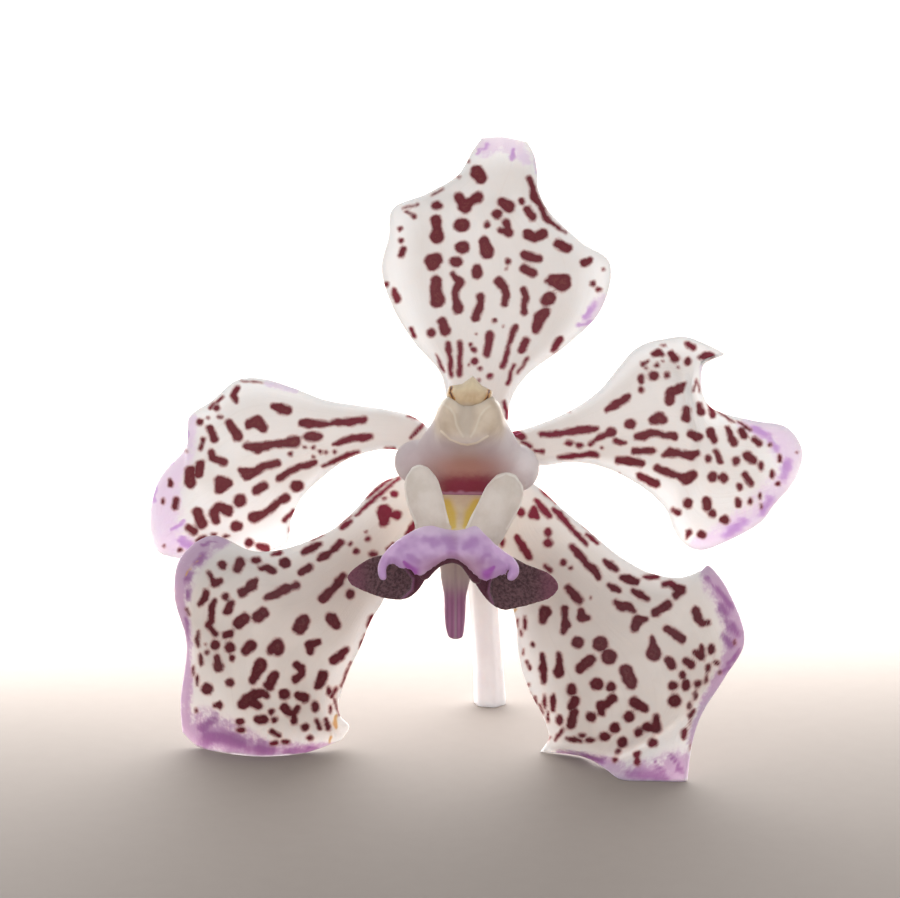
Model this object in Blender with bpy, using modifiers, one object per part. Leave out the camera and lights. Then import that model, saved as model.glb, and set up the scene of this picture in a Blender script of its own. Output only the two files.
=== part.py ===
"""A single orchid bloom: three sepals, two petals, a lip with its spur, a column with its anther
cap and pollinia, and the pedicel behind. It stands on its two lower sepals and on its pedicel.

The layout is given in millimetres as the bloom is seen from the front: x to the right and up
from the middle of its face, and depth away from the viewer. place() turns that into world metres.
"""

import math

import bmesh
import bpy
import numpy as np
from mathutils import Vector

COLLECTION_NAME = "orchid_flower"
MM = 0.001

# Driving dimensions, in metres
BLADE_THICKNESS = 0.0009  # sepals and petals
TIP_THICKNESS = 0.0010  # the fleshy tip of the lip
SEAT_GAP = 0.0003  # between the anther cap and the column
FACE_HEIGHT = 0.0323  # of the middle of the bloom's face over what it stands on
FACE_SIDE = -0.0027  # from the origin to the middle of the face, to the right
FACE_BACK = -0.0022  # and away from the viewer
LAYOUT_DISTANCE = 0.330  # what lies deeper is laid out larger, as seen from here
FACE_TILT = math.radians(14.0)  # the face leans back

# How finely the solids are divided
BLADE_COLUMNS = 11
BLADE_ROWS = 17

# Each line of a blade, from claw to tip: the points across it, then how far each of its two
# margins is rolled to the back. The first point lies to the viewer's left on a blade that
# points up, and is carried round with the blade.
DORSAL_SEPAL = [
    ([(0.8, 2.7, 6.4), (2.3, 2.8, 6.2), (3.8, 2.7, 6.4)], 0.2, 0.2),
    ([(-0.3, 4.9, 6.2), (2.9, 4.9, 5.6), (6.1, 4.9, 6.4)], 0.3, 0.3),
    ([(-1.0, 7.7, 6.0), (3.4, 7.7, 5.2), (7.8, 7.5, 6.6)], 0.4, 0.4),
    ([(-3.5, 10.6, 6.6), (3.7, 10.4, 5.3), (11.8, 10.5, 7.4)], 0.5, 0.5),
    ([(-5.7, 14.2, 7.2), (4.0, 13.9, 5.8), (15.1, 14.0, 8.4)], 0.6, 0.6),
    ([(-6.8, 18.1, 7.8), (4.2, 17.9, 6.4), (15.9, 18.7, 9.2)], 0.6, 0.8),
    ([(-6.1, 21.2, 8.4), (4.2, 21.4, 7.1), (12.8, 20.9, 9.4)], 0.8, 1.6),
    ([(-5.5, 24.2, 9.2), (4.2, 24.4, 7.9), (9.6, 24.1, 9.2)], 1.0, 2.0),
    ([(-2.2, 25.6, 9.6), (4.6, 26.1, 8.6), (8.8, 25.9, 9.6)], 1.2, 1.6),
    ([(0.8, 27.4, 10.0), (4.8, 28.1, 9.3), (8.7, 27.7, 10.2)], 0.8, 0.8),
    ([(2.2, 29.7, 11.0), (5.2, 29.7, 10.2), (8.4, 29.4, 11.2)], 0.5, 0.5),
    ([(3.2, 31.1, 11.8), (5.3, 31.2, 11.2), (7.7, 30.7, 12.0)], 0.3, 0.3),
]
PETAL_LEFT = [
    ([(-1.8, -0.7, 5.0), (-1.7, 0.4, 4.9), (-1.6, 1.5, 5.0)], 0.2, 0.2),
    ([(-4.2, -0.3, 5.0), (-3.9, 1.4, 4.8), (-3.6, 3.2, 5.0)], 0.2, 0.2),
    ([(-6.6, 0.0, 5.0), (-6.4, 1.9, 4.6), (-6.2, 3.9, 5.0)], 0.3, 0.3),
    ([(-10.0, -0.9, 5.2), (-9.5, 1.9, 4.4), (-9.2, 4.35, 5.2)], 0.3, 0.3),
    ([(-12.5, -2.6, 5.4), (-12.5, 1.3, 4.4), (-12.5, 4.9, 5.6)], 0.4, 0.5),
    ([(-14.7, -4.7, 5.8), (-15.3, 0.6, 4.6), (-15.7, 6.1, 6.4)], 0.5, 0.6),
    ([(-15.9, -7.1, 6.2), (-18.2, -0.1, 5.0), (-18.8, 7.0, 7.0)], 0.5, 0.8),
    ([(-16.2, -9.2, 6.6), (-20.7, -0.9, 5.4), (-21.4, 6.8, 7.4)], 0.5, 0.9),
    ([(-17.5, -10.0, 6.8), (-23.0, -2.1, 5.8), (-23.8, 4.8, 7.6)], 0.5, 0.9),
    ([(-20.0, -10.7, 7.0), (-25.0, -4.1, 6.4), (-26.1, 3.1, 8.0)], 0.4, 0.9),
    ([(-22.8, -11.3, 7.4), (-26.8, -6.3, 7.0), (-26.4, 0.2, 8.2)], 0.4, 0.8),
    ([(-25.5, -11.2, 7.8), (-28.2, -7.9, 7.8), (-29.0, -2.9, 8.8)], 0.3, 0.6),
    ([(-27.4, -10.9, 8.4), (-29.0, -9.1, 8.4), (-29.9, -5.8, 9.2)], 0.3, 0.4),
    ([(-28.7, -10.6, 9.0), (-29.5, -9.9, 9.2), (-30.0, -8.1, 9.6)], 0.2, 0.2),
]
PETAL_RIGHT = [
    ([(4.2, 1.5, 5.0), (4.2, 0.2, 4.9), (4.1, -1.1, 5.0)], 0.2, 0.2),
    ([(6.6, 1.8, 5.0), (6.4, 0.2, 4.8), (6.2, -1.5, 5.0)], 0.2, 0.2),
    ([(9.5, 2.7, 5.0), (9.3, 0.6, 4.5), (9.2, -1.65, 5.0)], 0.3, 0.3),
    ([(12.5, 4.1, 5.0), (12.5, 1.2, 4.3), (12.2, -1.3, 5.2)], 0.3, 0.3),
    ([(15.0, 5.9, 5.2), (15.6, 1.7, 4.2), (15.0, -1.7, 5.4)], 0.4, 0.4),
    ([(17.0, 8.3, 5.6), (19.0, 2.1, 4.4), (17.8, -2.9, 5.6)], 0.6, 0.4),
    ([(18.6, 10.0, 6.0), (21.5, 1.7, 4.8), (20.2, -4.5, 6.0)], 0.8, 0.5),
    ([(21.0, 10.9, 6.6), (23.8, 1.1, 5.2), (21.7, -6.2, 6.4)], 0.8, 0.5),
    ([(24.0, 11.1, 7.2), (25.6, 0.5, 5.6), (22.4, -8.0, 6.8)], 0.8, 0.5),
    ([(27.0, 9.9, 7.6), (26.6, -0.1, 5.8), (23.1, -9.2, 7.0)], 0.6, 0.5),
    ([(25.4, 7.9, 7.4), (27.4, -0.7, 6.0), (23.9, -9.85, 7.2)], 1.2, 0.5),
    ([(25.2, 5.8, 7.4), (28.2, -1.2, 6.2), (25.2, -10.0, 7.4)], 1.2, 0.5),
    ([(27.0, 3.7, 7.6), (29.4, -1.8, 6.6), (27.2, -9.4, 7.6)], 0.9, 0.5),
    ([(30.5, 2.8, 8.0), (30.7, -2.4, 7.0), (29.5, -8.3, 7.8)], 0.6, 0.5),
    ([(33.6, 2.2, 8.6), (32.2, -2.9, 7.6), (31.3, -7.1, 8.2)], 0.5, 0.4),
    ([(35.1, 0.3, 9.2), (33.7, -3.1, 8.4), (32.5, -5.5, 8.8)], 0.4, 0.3),
    ([(35.2, -1.3, 9.6), (34.7, -2.7, 9.2), (33.8, -4.1, 9.2)], 0.2, 0.2),
]
LATERAL_SEPAL_LEFT = [
    ([(-0.1, -3.4, 6.4), (-1.0, -2.6, 6.2), (-1.6, -1.5, 6.4)], 0.2, 0.2),
    ([(-1.8, -5.7, 6.0), (-3.4, -4.2, 5.8), (-4.9, -2.6, 6.2)], 0.3, 0.3),
    ([(-3.1, -7.9, 5.4), (-5.3, -5.8, 4.8), (-7.2, -3.6, 5.4)], 0.4, 0.4),
    ([(-4.5, -9.9, 4.8), (-7.2, -7.5, 4.0), (-9.5, -6.1, 4.8)], 0.5, 0.5),
    ([(-5.7, -12.4, 4.2), (-9.2, -9.2, 3.2), (-11.7, -8.0, 4.0)], 0.5, 0.5),
    ([(-6.7, -15.1, 3.8), (-11.3, -11.1, 2.4), (-14.2, -9.2, 3.4)], 0.5, 0.5),
    ([(-7.9, -17.1, 3.8), (-13.2, -13.1, 1.8), (-16.8, -10.05, 3.0)], 0.5, 0.5),
    ([(-9.1, -20.0, 4.2), (-14.8, -15.4, 1.4), (-19.8, -10.2, 2.8)], 0.5, 0.6),
    ([(-10.0, -21.9, 4.8), (-16.0, -17.9, 1.4), (-23.7, -8.7, 2.8)], 0.5, 0.7),
    ([(-10.8, -24.1, 5.8), (-17.1, -21.2, 2.0), (-26.9, -10.9, 3.8)], 0.5, 0.9),
    ([(-11.2, -25.5, 7.0), (-17.9, -24.3, 3.2), (-27.5, -14.8, 5.0)], 0.5, 0.9),
    ([(-10.9, -26.8, 8.4), (-18.4, -27.0, 4.8), (-26.3, -19.6, 7.0)], 0.4, 0.8),
    ([(-10.5, -27.6, 9.6), (-18.7, -29.1, 6.2), (-26.9, -25.1, 9.2)], 0.3, 0.6),
    (
        [
            (-10.4, -28.3, 10.6),
            (-14.5, -30.4, 8.4),
            (-18.8, -31.0, 7.5),
            (-22.8, -30.4, 8.6),
            (-26.7, -28.5, 11.0),
        ],
        0.2,
        0.2,
    ),
]
LATERAL_SEPAL_RIGHT = [
    ([(4.1, -1.4, 6.4), (3.4, -2.6, 6.2), (2.4, -3.4, 6.4)], 0.2, 0.2),
    ([(6.7, -2.5, 6.2), (5.8, -3.9, 5.8), (4.5, -5.4, 6.0)], 0.3, 0.3),
    ([(8.8, -3.8, 5.2), (7.2, -5.8, 4.6), (5.3, -7.8, 5.2)], 0.4, 0.4),
    ([(11.1, -5.9, 4.4), (8.6, -8.2, 3.8), (5.0, -10.1, 4.8)], 0.5, 0.5),
    ([(14.0, -8.3, 3.6), (10.1, -10.5, 2.8), (5.2, -12.6, 4.2)], 0.5, 0.5),
    ([(16.9, -10.7, 2.8), (11.8, -12.8, 1.8), (6.0, -15.1, 3.6)], 0.5, 0.5),
    ([(19.8, -12.3, 2.2), (13.5, -15.3, 0.9), (6.6, -17.3, 3.2)], 0.5, 0.5),
    ([(22.8, -12.85, 1.8), (15.2, -17.7, 0.2), (6.8, -19.9, 3.2)], 0.6, 0.5),
    ([(25.0, -12.2, 1.6), (16.5, -20.1, -0.2), (7.2, -22.1, 3.6)], 0.7, 0.5),
    ([(25.95, -11.75, 1.8), (17.5, -22.5, -0.4), (8.0, -24.3, 4.4)], 0.7, 0.5),
    ([(27.9, -14.4, 2.0), (18.4, -24.8, -0.4), (9.1, -26.3, 5.4)], 0.8, 0.5),
    ([(29.4, -19.2, 2.2), (18.4, -27.2, 0.4), (9.7, -27.8, 6.4)], 0.8, 0.5),
    ([(27.3, -23.1, 1.6), (17.6, -29.3, 1.6), (9.9, -28.8, 7.2)], 0.6, 0.4),
    ([(24.8, -27.3, 0.8), (16.7, -30.8, 3.0), (9.6, -29.5, 8.0)], 0.5, 0.3),
    (
        [
            (24.1, -33.4, 0.1),
            (20.0, -33.45, 0.2),
            (15.6, -32.1, 4.2),
            (13.0, -31.0, 6.9),
            (9.0, -30.3, 8.8),
        ],
        0.2,
        0.2,
    ),
]

# The violet tip of the lip, from its left hook to its right one: outer edge, middle, inner edge
LIP_TIP = [
    ([(-7.0, -13.0, -11.6), (-6.6, -13.1, -11.8), (-6.2, -13.2, -11.8)], 0.0, 0.0),
    ([(-7.2, -12.3, -11.3), (-6.6, -12.4, -11.8), (-5.9, -12.5, -11.9)], 0.0, 0.0),
    ([(-7.0, -11.1, -10.9), (-6.2, -11.5, -11.7), (-5.4, -11.8, -12.1)], 0.0, 0.0),
    ([(-6.2, -9.9, -10.5), (-5.4, -10.6, -11.7), (-4.8, -11.45, -12.4)], 0.0, 0.0),
    ([(-5.0, -8.9, -10.2), (-4.5, -10.2, -11.6), (-3.9, -11.4, -12.6)], 0.0, 0.0),
    ([(-3.8, -8.2, -9.9), (-3.6, -10.0, -11.6), (-3.3, -12.2, -12.8)], 0.0, 0.0),
    ([(-2.4, -7.6, -9.6), (-2.4, -9.8, -11.6), (-2.3, -12.2, -12.8)], 0.0, 0.0),
    ([(-1.2, -7.75, -9.5), (-1.2, -9.6, -11.6), (-1.2, -11.5, -12.9)], 0.0, 0.0),
    ([(0.0, -8.1, -9.5), (0.05, -9.5, -11.6), (0.1, -11.0, -13.0)], 0.0, 0.0),
    ([(1.2, -7.9, -9.5), (1.3, -9.7, -11.6), (1.4, -11.6, -12.9)], 0.0, 0.0),
    ([(2.4, -7.7, -9.6), (2.4, -10.1, -11.6), (2.3, -12.5, -12.8)], 0.0, 0.0),
    ([(3.5, -8.4, -9.9), (3.4, -10.4, -11.6), (3.4, -12.7, -12.8)], 0.0, 0.0),
    ([(4.5, -9.2, -10.2), (4.3, -10.7, -11.6), (4.1, -12.3, -12.6)], 0.0, 0.0),
    ([(5.4, -10.1, -10.5), (5.1, -11.2, -11.7), (4.9, -12.3, -12.4)], 0.0, 0.0),
    ([(6.3, -10.9, -10.9), (5.8, -11.7, -11.8), (5.4, -12.6, -12.1)], 0.0, 0.0),
    ([(6.95, -11.9, -11.3), (6.3, -12.4, -11.8), (5.8, -13.1, -11.9)], 0.0, 0.0),
    ([(6.8, -12.8, -11.6), (6.5, -13.0, -11.8), (6.1, -13.3, -11.8)], 0.0, 0.0),
]

# Rounded bodies, ring by ring: centre x, up and depth, then the two half widths of the ring
LIP_BODY = [
    (1.1, -6.7, 4.4, 0.0, 0.0),
    (1.1, -6.7, 3.8, 2.3, 1.1),
    (1.1, -6.9, 2.0, 3.0, 1.5),
    (1.1, -7.3, 0.0, 3.1, 1.8),
    (1.0, -8.1, -3.0, 2.9, 1.9),
    (0.7, -9.1, -6.0, 2.7, 1.8),
    (0.4, -9.7, -9.0, 2.3, 1.5),
    (0.2, -9.7, -10.9, 1.6, 0.9),
    (0.2, -9.7, -11.4, 0.0, 0.0),
]
SIDE_LOBE_LEFT = [
    (-3.0, -1.5, -2.9, 0.0, 0.0),
    (-3.0, -2.1, -3.0, 1.0, 0.8),
    (-2.95, -2.9, -3.2, 1.62, 1.1),
    (-2.8, -3.9, -3.4, 1.88, 1.3),
    (-2.55, -5.1, -3.6, 1.92, 1.45),
    (-2.15, -6.3, -3.7, 1.85, 1.5),
    (-1.65, -7.5, -3.7, 1.65, 1.5),
    (-1.1, -8.5, -3.6, 1.2, 1.2),
    (-0.6, -9.1, -3.5, 0.0, 0.0),
]
SIDE_LOBE_RIGHT = [
    (5.7, -2.3, -2.9, 0.0, 0.0),
    (5.5, -2.9, -3.0, 1.25, 0.8),
    (5.4, -3.7, -3.2, 1.85, 1.1),
    (5.2, -4.7, -3.4, 2.1, 1.3),
    (4.8, -5.7, -3.6, 2.2, 1.45),
    (4.1, -6.9, -3.7, 2.0, 1.5),
    (3.4, -8.1, -3.7, 1.8, 1.5),
    (2.8, -9.1, -3.6, 1.3, 1.2),
    (2.4, -9.7, -3.5, 0.0, 0.0),
]
WING_LEFT = [
    (-10.3, -12.8, -5.6, 0.0, 0.0),
    (-9.8, -12.75, -5.7, 0.95, 0.4),
    (-8.8, -12.7, -6.0, 1.6, 0.6),
    (-7.2, -12.7, -6.4, 2.1, 0.75),
    (-5.5, -12.65, -6.8, 2.45, 0.85),
    (-4.2, -12.45, -7.1, 2.48, 0.9),
    (-3.0, -11.75, -7.4, 2.05, 0.95),
    (-1.8, -10.8, -7.6, 1.4, 1.0),
    (-0.6, -10.1, -7.8, 0.95, 0.9),
    (0.6, -9.7, -8.0, 0.0, 0.0),
]
WING_RIGHT = [
    (10.9, -13.7, -5.6, 0.0, 0.0),
    (10.3, -13.55, -5.7, 0.95, 0.4),
    (9.0, -13.55, -6.0, 1.65, 0.6),
    (7.2, -13.45, -6.4, 2.35, 0.75),
    (5.5, -13.3, -6.8, 2.8, 0.85),
    (4.2, -12.9, -7.1, 2.8, 0.9),
    (3.1, -12.1, -7.4, 2.4, 0.95),
    (2.0, -11.1, -7.6, 1.6, 1.0),
    (1.0, -10.3, -7.8, 1.0, 0.9),
    (0.0, -9.9, -8.0, 0.0, 0.0),
]
WING_SLANT = 0.45  # how much farther back a wing's upper edge lies, as a share of its height
SPUR = [
    (0.8, -7.2, 0.2, 0.0, 0.0),
    (0.8, -8.0, 0.2, 2.0, 2.0),
    (0.7, -9.6, 0.2, 1.9, 1.8),
    (0.55, -11.6, 0.3, 1.55, 1.5),
    (0.5, -13.5, 0.4, 1.3, 1.25),
    (0.5, -15.5, 0.6, 1.07, 1.05),
    (0.5, -17.3, 0.8, 0.92, 0.92),
    (0.52, -18.6, 0.9, 0.72, 0.72),
    (0.55, -19.1, 0.9, 0.0, 0.0),
]
COLUMN = [
    (1.9, 3.2, -6.2, 0.0, 0.0),
    (1.9, 3.2, -6.0, 1.7, 2.2),
    (1.9, 3.2, -5.2, 2.4, 2.8),
    (1.9, 2.6, -3.0, 3.2, 3.3),
    (1.95, 1.1, -1.0, 4.1, 3.6),
    (1.8, -0.6, 0.7, 6.0, 3.4),
    (1.7, -1.9, 2.0, 7.3, 2.9),
    (1.7, -1.9, 3.3, 6.3, 2.5),
    (1.7, -1.8, 4.2, 3.6, 1.6),
    (1.7, -1.8, 4.4, 0.0, 0.0),
]
STIGMA = (1.95, 1.7, 1.2, 1.1, 0.8)  # centre x and up, half widths and depth of the hollow

CAP_CENTRE = (1.95, 5.2, -4.9)
CAP_HALF = (2.25, 1.75, 2.0)
CAP_WALL = 0.6
CAP_BACK = -4.2  # the depth at which the cap is open
POLLINIUM_CENTRES = [(1.4, 5.3, -5.1), (2.5, 5.3, -5.1)]
POLLINIUM_RADIUS = 0.5
STIPE = [
    (1.95, 5.3, -5.4, 0.0, 0.0),
    (1.95, 5.3, -5.2, 0.5, 0.3),
    (1.95, 5.3, -4.6, 0.35, 0.3),
    (1.95, 5.1, -4.0, 0.3, 0.3),
    (1.95, 4.7, -3.6, 0.3, 0.3),
    (1.95, 4.3, -3.4, 0.5, 0.3),
    (1.95, 4.0, -3.3, 0.0, 0.0),
]

# The pedicel's middle line from the knob to past its cut end: x, up, depth and radius
PEDICEL = [
    (1.2, -0.3, 4.95, 2.2),
    (1.2, -0.3, 5.6, 2.6),
    (1.2, -0.4, 7.6, 2.5),
    (1.3, -1.0, 9.6, 1.8),
    (1.8, -3.4, 13.5, 1.5),
    (2.6, -8.0, 18.0, 1.45),
    (3.2, -14.0, 21.5, 1.4),
    (3.7, -20.0, 23.4, 1.4),
    (4.0, -25.6, 24.2, 1.55),
    (4.05, -27.4, 24.4, 1.55),
]
PEDICEL_POINTS = 18

COLOURS = {
    "white": ((0.80, 0.77, 0.74), 0.5),
    "lip": ((0.55, 0.36, 0.60), 0.5),
    "column": ((0.76, 0.72, 0.74), 0.4),
    "cap": ((0.62, 0.54, 0.42), 0.4),
    "pollinia": ((0.80, 0.62, 0.18), 0.35),
    "pedicel": ((0.84, 0.74, 0.74), 0.5),
}

RIGHT = Vector((1.0, 0.0, 0.0))
UP = Vector((0.0, math.sin(FACE_TILT), math.cos(FACE_TILT)))
BACK = Vector((0.0, math.cos(FACE_TILT), -math.sin(FACE_TILT)))
FACE_MIDDLE = Vector((FACE_SIDE, FACE_BACK, FACE_HEIGHT))


def place(x, up, depth):
    """World metres of a point laid out in millimetres as the face is seen."""
    spread = 1.0 + depth * MM / LAYOUT_DISTANCE
    return FACE_MIDDLE + (RIGHT * x * spread + UP * up * spread + BACK * depth) * MM


def smooth_through(points, knots, at):
    """Values at the given places of a smooth curve that passes through all the points."""
    points = np.asarray(points, float)
    gaps = np.diff(knots)
    steps = np.diff(points, axis=0) / gaps[:, None]
    slopes = np.empty_like(points)
    slopes[1:-1] = (steps[:-1] * gaps[1:, None] + steps[1:] * gaps[:-1, None]) / (
        gaps[1:] + gaps[:-1]
    )[:, None]
    slopes[0] = 1.5 * steps[0] - 0.5 * slopes[1]
    slopes[-1] = 1.5 * steps[-1] - 0.5 * slopes[-2]
    k = np.clip(np.searchsorted(knots, at, side="right") - 1, 0, len(gaps) - 1)
    t = ((at - knots[k]) / gaps[k])[:, None]
    g = gaps[k][:, None]
    return (
        points[k] * (2 * t**3 - 3 * t**2 + 1)
        + slopes[k] * g * (t**3 - 2 * t**2 + t)
        + points[k + 1] * (3 * t**2 - 2 * t**3)
        + slopes[k + 1] * g * (t**3 - t**2)
    )


def spacing(points):
    """Knots for a curve through the points, closer together where the points are."""
    lengths = np.linalg.norm(np.diff(np.asarray(points, float), axis=0), axis=1)
    return np.concatenate([[0.0], np.cumsum(np.sqrt(lengths))])


def across(points, roll_first, roll_last, count):
    """Evenly spaced points on a line of a blade, with its margins rolled to the back."""
    line = [np.array(p, float) for p in points]
    if roll_first:
        inward = (line[1] - line[0]) / np.linalg.norm(line[1] - line[0])
        line.insert(0, line[0] + inward * 0.25 * roll_first + np.array([0, 0, roll_first]))
    if roll_last:
        inward = (line[-2] - line[-1]) / np.linalg.norm(line[-2] - line[-1])
        line.append(line[-1] + inward * 0.25 * roll_last + np.array([0, 0, roll_last]))
    knots = spacing(line)
    fine = smooth_through(line, knots, np.linspace(0, knots[-1], 12 * count))
    run = np.concatenate([[0.0], np.cumsum(np.linalg.norm(np.diff(fine, axis=0), axis=1))])
    want = np.linspace(0, run[-1], count)
    return np.stack([np.interp(want, run, fine[:, i]) for i in range(3)], axis=1)


def blade_points(lines, columns, rows):
    """Points of a blade on a grid of rows from claw to tip and columns across it."""
    sections = np.array([across(*line, columns) for line in lines])
    steps = np.linalg.norm(np.diff(sections, axis=0), axis=2).mean(axis=1)
    knots = np.concatenate([[0.0], np.cumsum(np.sqrt(steps))])
    flat = sections.reshape(len(lines), -1)
    return smooth_through(flat, knots, np.linspace(0, knots[-1], rows)).reshape(rows, columns, 3)


def add_object(name, bm, collection, material):
    mesh = bpy.data.meshes.new(name)
    bm.to_mesh(mesh)
    bm.free()
    mesh.shade_smooth()
    if material:
        mesh.materials.append(material)
    made = bpy.data.objects.new(name, mesh)
    collection.objects.link(made)
    return made


def add_blade(name, lines, thickness, collection, material, columns=BLADE_COLUMNS, rows=BLADE_ROWS):
    """A blade as one sheet of triangles, given its thickness to the back."""
    points = blade_points(lines, columns, rows)
    bm = bmesh.new()
    bmesh.ops.create_grid(bm, x_segments=columns - 1, y_segments=rows - 1, size=1.0)
    for vertex in bm.verts:
        column = round((vertex.co.x + 1) / 2 * (columns - 1))
        row = round((vertex.co.y + 1) / 2 * (rows - 1))
        vertex.co = place(*points[row, column])
    bmesh.ops.triangulate(bm, faces=bm.faces[:])
    made = add_object(name, bm, collection, material)
    wall = made.modifiers.new("thickness", "SOLIDIFY")
    wall.thickness = thickness
    wall.offset = -1.0
    return made


def add_rounded(name, rings, first, second, around, along, collection, material):
    """A rounded body drawn from its rings, whose half widths lie along first and second."""
    rings = np.array(rings, float)
    knots = spacing(rings[:, :3])
    rings = smooth_through(rings, knots, np.linspace(0, knots[-1], along + 1))
    rings[:, 3:] = np.maximum(rings[:, 3:], 0.0)
    bm = bmesh.new()
    bmesh.ops.create_uvsphere(bm, u_segments=around, v_segments=along, radius=1.0)
    for vertex in bm.verts:
        ring = rings[round(math.acos(max(-1.0, min(1.0, vertex.co.z))) / math.pi * along)]
        angle = math.atan2(vertex.co.y, vertex.co.x)
        point = (
            ring[:3]
            + np.array(first) * ring[3] * math.cos(angle)
            + np.array(second) * ring[4] * math.sin(angle)
        )
        vertex.co = place(*point)
    bmesh.ops.recalc_face_normals(bm, faces=bm.faces[:])
    return add_object(name, bm, collection, material)


def add_ellipsoid(name, centre, half, around, along, collection, material=None):
    bm = bmesh.new()
    bmesh.ops.create_uvsphere(bm, u_segments=around, v_segments=along, radius=1.0)
    for vertex in bm.verts:
        offset = (c * h for c, h in zip((vertex.co.x, vertex.co.z, vertex.co.y), half))
        vertex.co = place(*(c + o for c, o in zip(centre, offset)))
    bmesh.ops.recalc_face_normals(bm, faces=bm.faces[:])
    return add_object(name, bm, collection, material)


def add_material(name, colour, roughness):
    material = bpy.data.materials.new(name)
    material.use_nodes = True
    shader = material.node_tree.nodes["Principled BSDF"]
    shader.inputs["Base Color"].default_value = (*colour, 1.0)
    shader.inputs["Roughness"].default_value = roughness
    shader.inputs["Metallic"].default_value = 0.0
    material.diffuse_color = (*colour, 1.0)
    return material


def combine(target, other, operation):
    """Adds a Boolean of the other object, which becomes a hidden helper."""
    other.hide_render = True
    other.display_type = "WIRE"
    modifier = target.modifiers.new(f"{operation.lower()} {other.name}", "BOOLEAN")
    modifier.operation = operation
    modifier.object = other


def add_ground(helpers):
    """The block below the surface that cuts the resting margins flat."""
    bm = bmesh.new()
    bmesh.ops.create_cube(bm, size=1.0)
    for vertex in bm.verts:
        vertex.co = Vector((vertex.co.x * 0.12, vertex.co.y * 0.12, (vertex.co.z - 0.5) * 0.01))
    return add_object("ground_cut", bm, helpers, None)


def add_column(collection, helpers, material):
    column = add_rounded("column", COLUMN, (1, 0, 0), (0, 1, 0), 28, 18, collection, material)
    x, up, half_x, half_up, deep = STIGMA
    for vertex in column.data.vertices:
        offset = vertex.co - FACE_MIDDLE
        depth = offset.dot(BACK) / MM
        spread = 1.0 + depth * MM / LAYOUT_DISTANCE
        seen_x = offset.dot(RIGHT) / MM / spread
        seen_up = offset.dot(UP) / MM / spread
        if depth < -1.0:
            reach = math.exp(-(((seen_x - x) / half_x) ** 2) - ((seen_up - up) / half_up) ** 2)
            vertex.co = vertex.co + BACK * deep * reach * MM
    seat_half = [h + SEAT_GAP / MM for h in CAP_HALF]
    seat = add_ellipsoid("cap_seat", CAP_CENTRE, seat_half, 20, 12, helpers)
    combine(column, seat, "DIFFERENCE")
    return column


def add_cap(collection, helpers, material):
    cap = add_ellipsoid("anther_cap", CAP_CENTRE, CAP_HALF, 20, 12, collection, material)
    inner = add_ellipsoid(
        "cap_hollow", CAP_CENTRE, [h - CAP_WALL for h in CAP_HALF], 16, 10, helpers
    )
    combine(cap, inner, "DIFFERENCE")
    bm = bmesh.new()
    bmesh.ops.create_cube(bm, size=1.0)
    for vertex in bm.verts:
        x = CAP_CENTRE[0] + vertex.co.x * 8
        up = CAP_CENTRE[1] + vertex.co.z * 8
        vertex.co = place(x, up, CAP_BACK + (vertex.co.y + 0.5) * 4)
    combine(cap, add_object("cap_mouth", bm, helpers, None), "DIFFERENCE")
    return cap


def add_pollinarium(collection, helpers, material):
    name, sideways, slanted = "pollinarium", (1, 0, 0), (0, 0.8, 0.6)
    stipe = add_rounded(name, STIPE, sideways, slanted, 10, 10, collection, material)
    for n, centre in enumerate(POLLINIUM_CENTRES):
        half = [POLLINIUM_RADIUS] * 3
        combine(
            stipe, add_ellipsoid(f"pollinium_{n + 1}", centre, half, 12, 8, helpers), "UNION"
        )
    return stipe


def add_lip(collection, helpers, material):
    lip = add_rounded("lip", LIP_BODY, (1, 0, 0), (0, 1, 0), 16, 14, collection, material)
    sideways, deep, slanted = (1, 0, 0), (0, 0, 1), (0, 1, WING_SLANT)
    parts = [
        add_rounded("side_lobe_left", SIDE_LOBE_LEFT, sideways, deep, 14, 12, helpers, None),
        add_rounded("side_lobe_right", SIDE_LOBE_RIGHT, sideways, deep, 14, 12, helpers, None),
        add_rounded("wing_left", WING_LEFT, slanted, deep, 14, 14, helpers, None),
        add_rounded("wing_right", WING_RIGHT, slanted, deep, 14, 14, helpers, None),
        add_rounded("spur", SPUR, sideways, deep, 14, 12, helpers, None),
        add_blade("lip_tip", LIP_TIP, TIP_THICKNESS, helpers, None, columns=5, rows=21),
    ]
    for part in parts:
        combine(lip, part, "UNION")
    return lip


def add_pedicel(collection, material):
    """A tube along the pedicel's middle line, as a closed mesh."""
    line = np.array(PEDICEL, float)
    knots = spacing(line[:, :3])
    line = smooth_through(line, knots, np.linspace(0, knots[-1], PEDICEL_POINTS))
    curve = bpy.data.curves.new("pedicel_line", "CURVE")
    curve.dimensions = "3D"
    curve.bevel_depth = MM
    curve.bevel_resolution = 4
    curve.use_fill_caps = True
    spline = curve.splines.new("POLY")
    spline.points.add(len(line) - 1)
    for point, (x, up, depth, radius) in zip(spline.points, line):
        point.co = (*place(x, up, depth), 1.0)
        point.radius = radius
    guide = bpy.data.objects.new("pedicel_line", curve)
    collection.objects.link(guide)
    evaluated = guide.evaluated_get(bpy.context.evaluated_depsgraph_get())
    mesh = bpy.data.meshes.new_from_object(evaluated)
    bm = bmesh.new()
    bm.from_mesh(mesh)
    bmesh.ops.remove_doubles(bm, verts=bm.verts[:], dist=1e-6)
    bmesh.ops.triangulate(bm, faces=bm.faces[:])
    bmesh.ops.recalc_face_normals(bm, faces=bm.faces[:])
    bpy.data.objects.remove(guide)
    bpy.data.meshes.remove(mesh)
    return add_object("pedicel", bm, collection, material)


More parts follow.
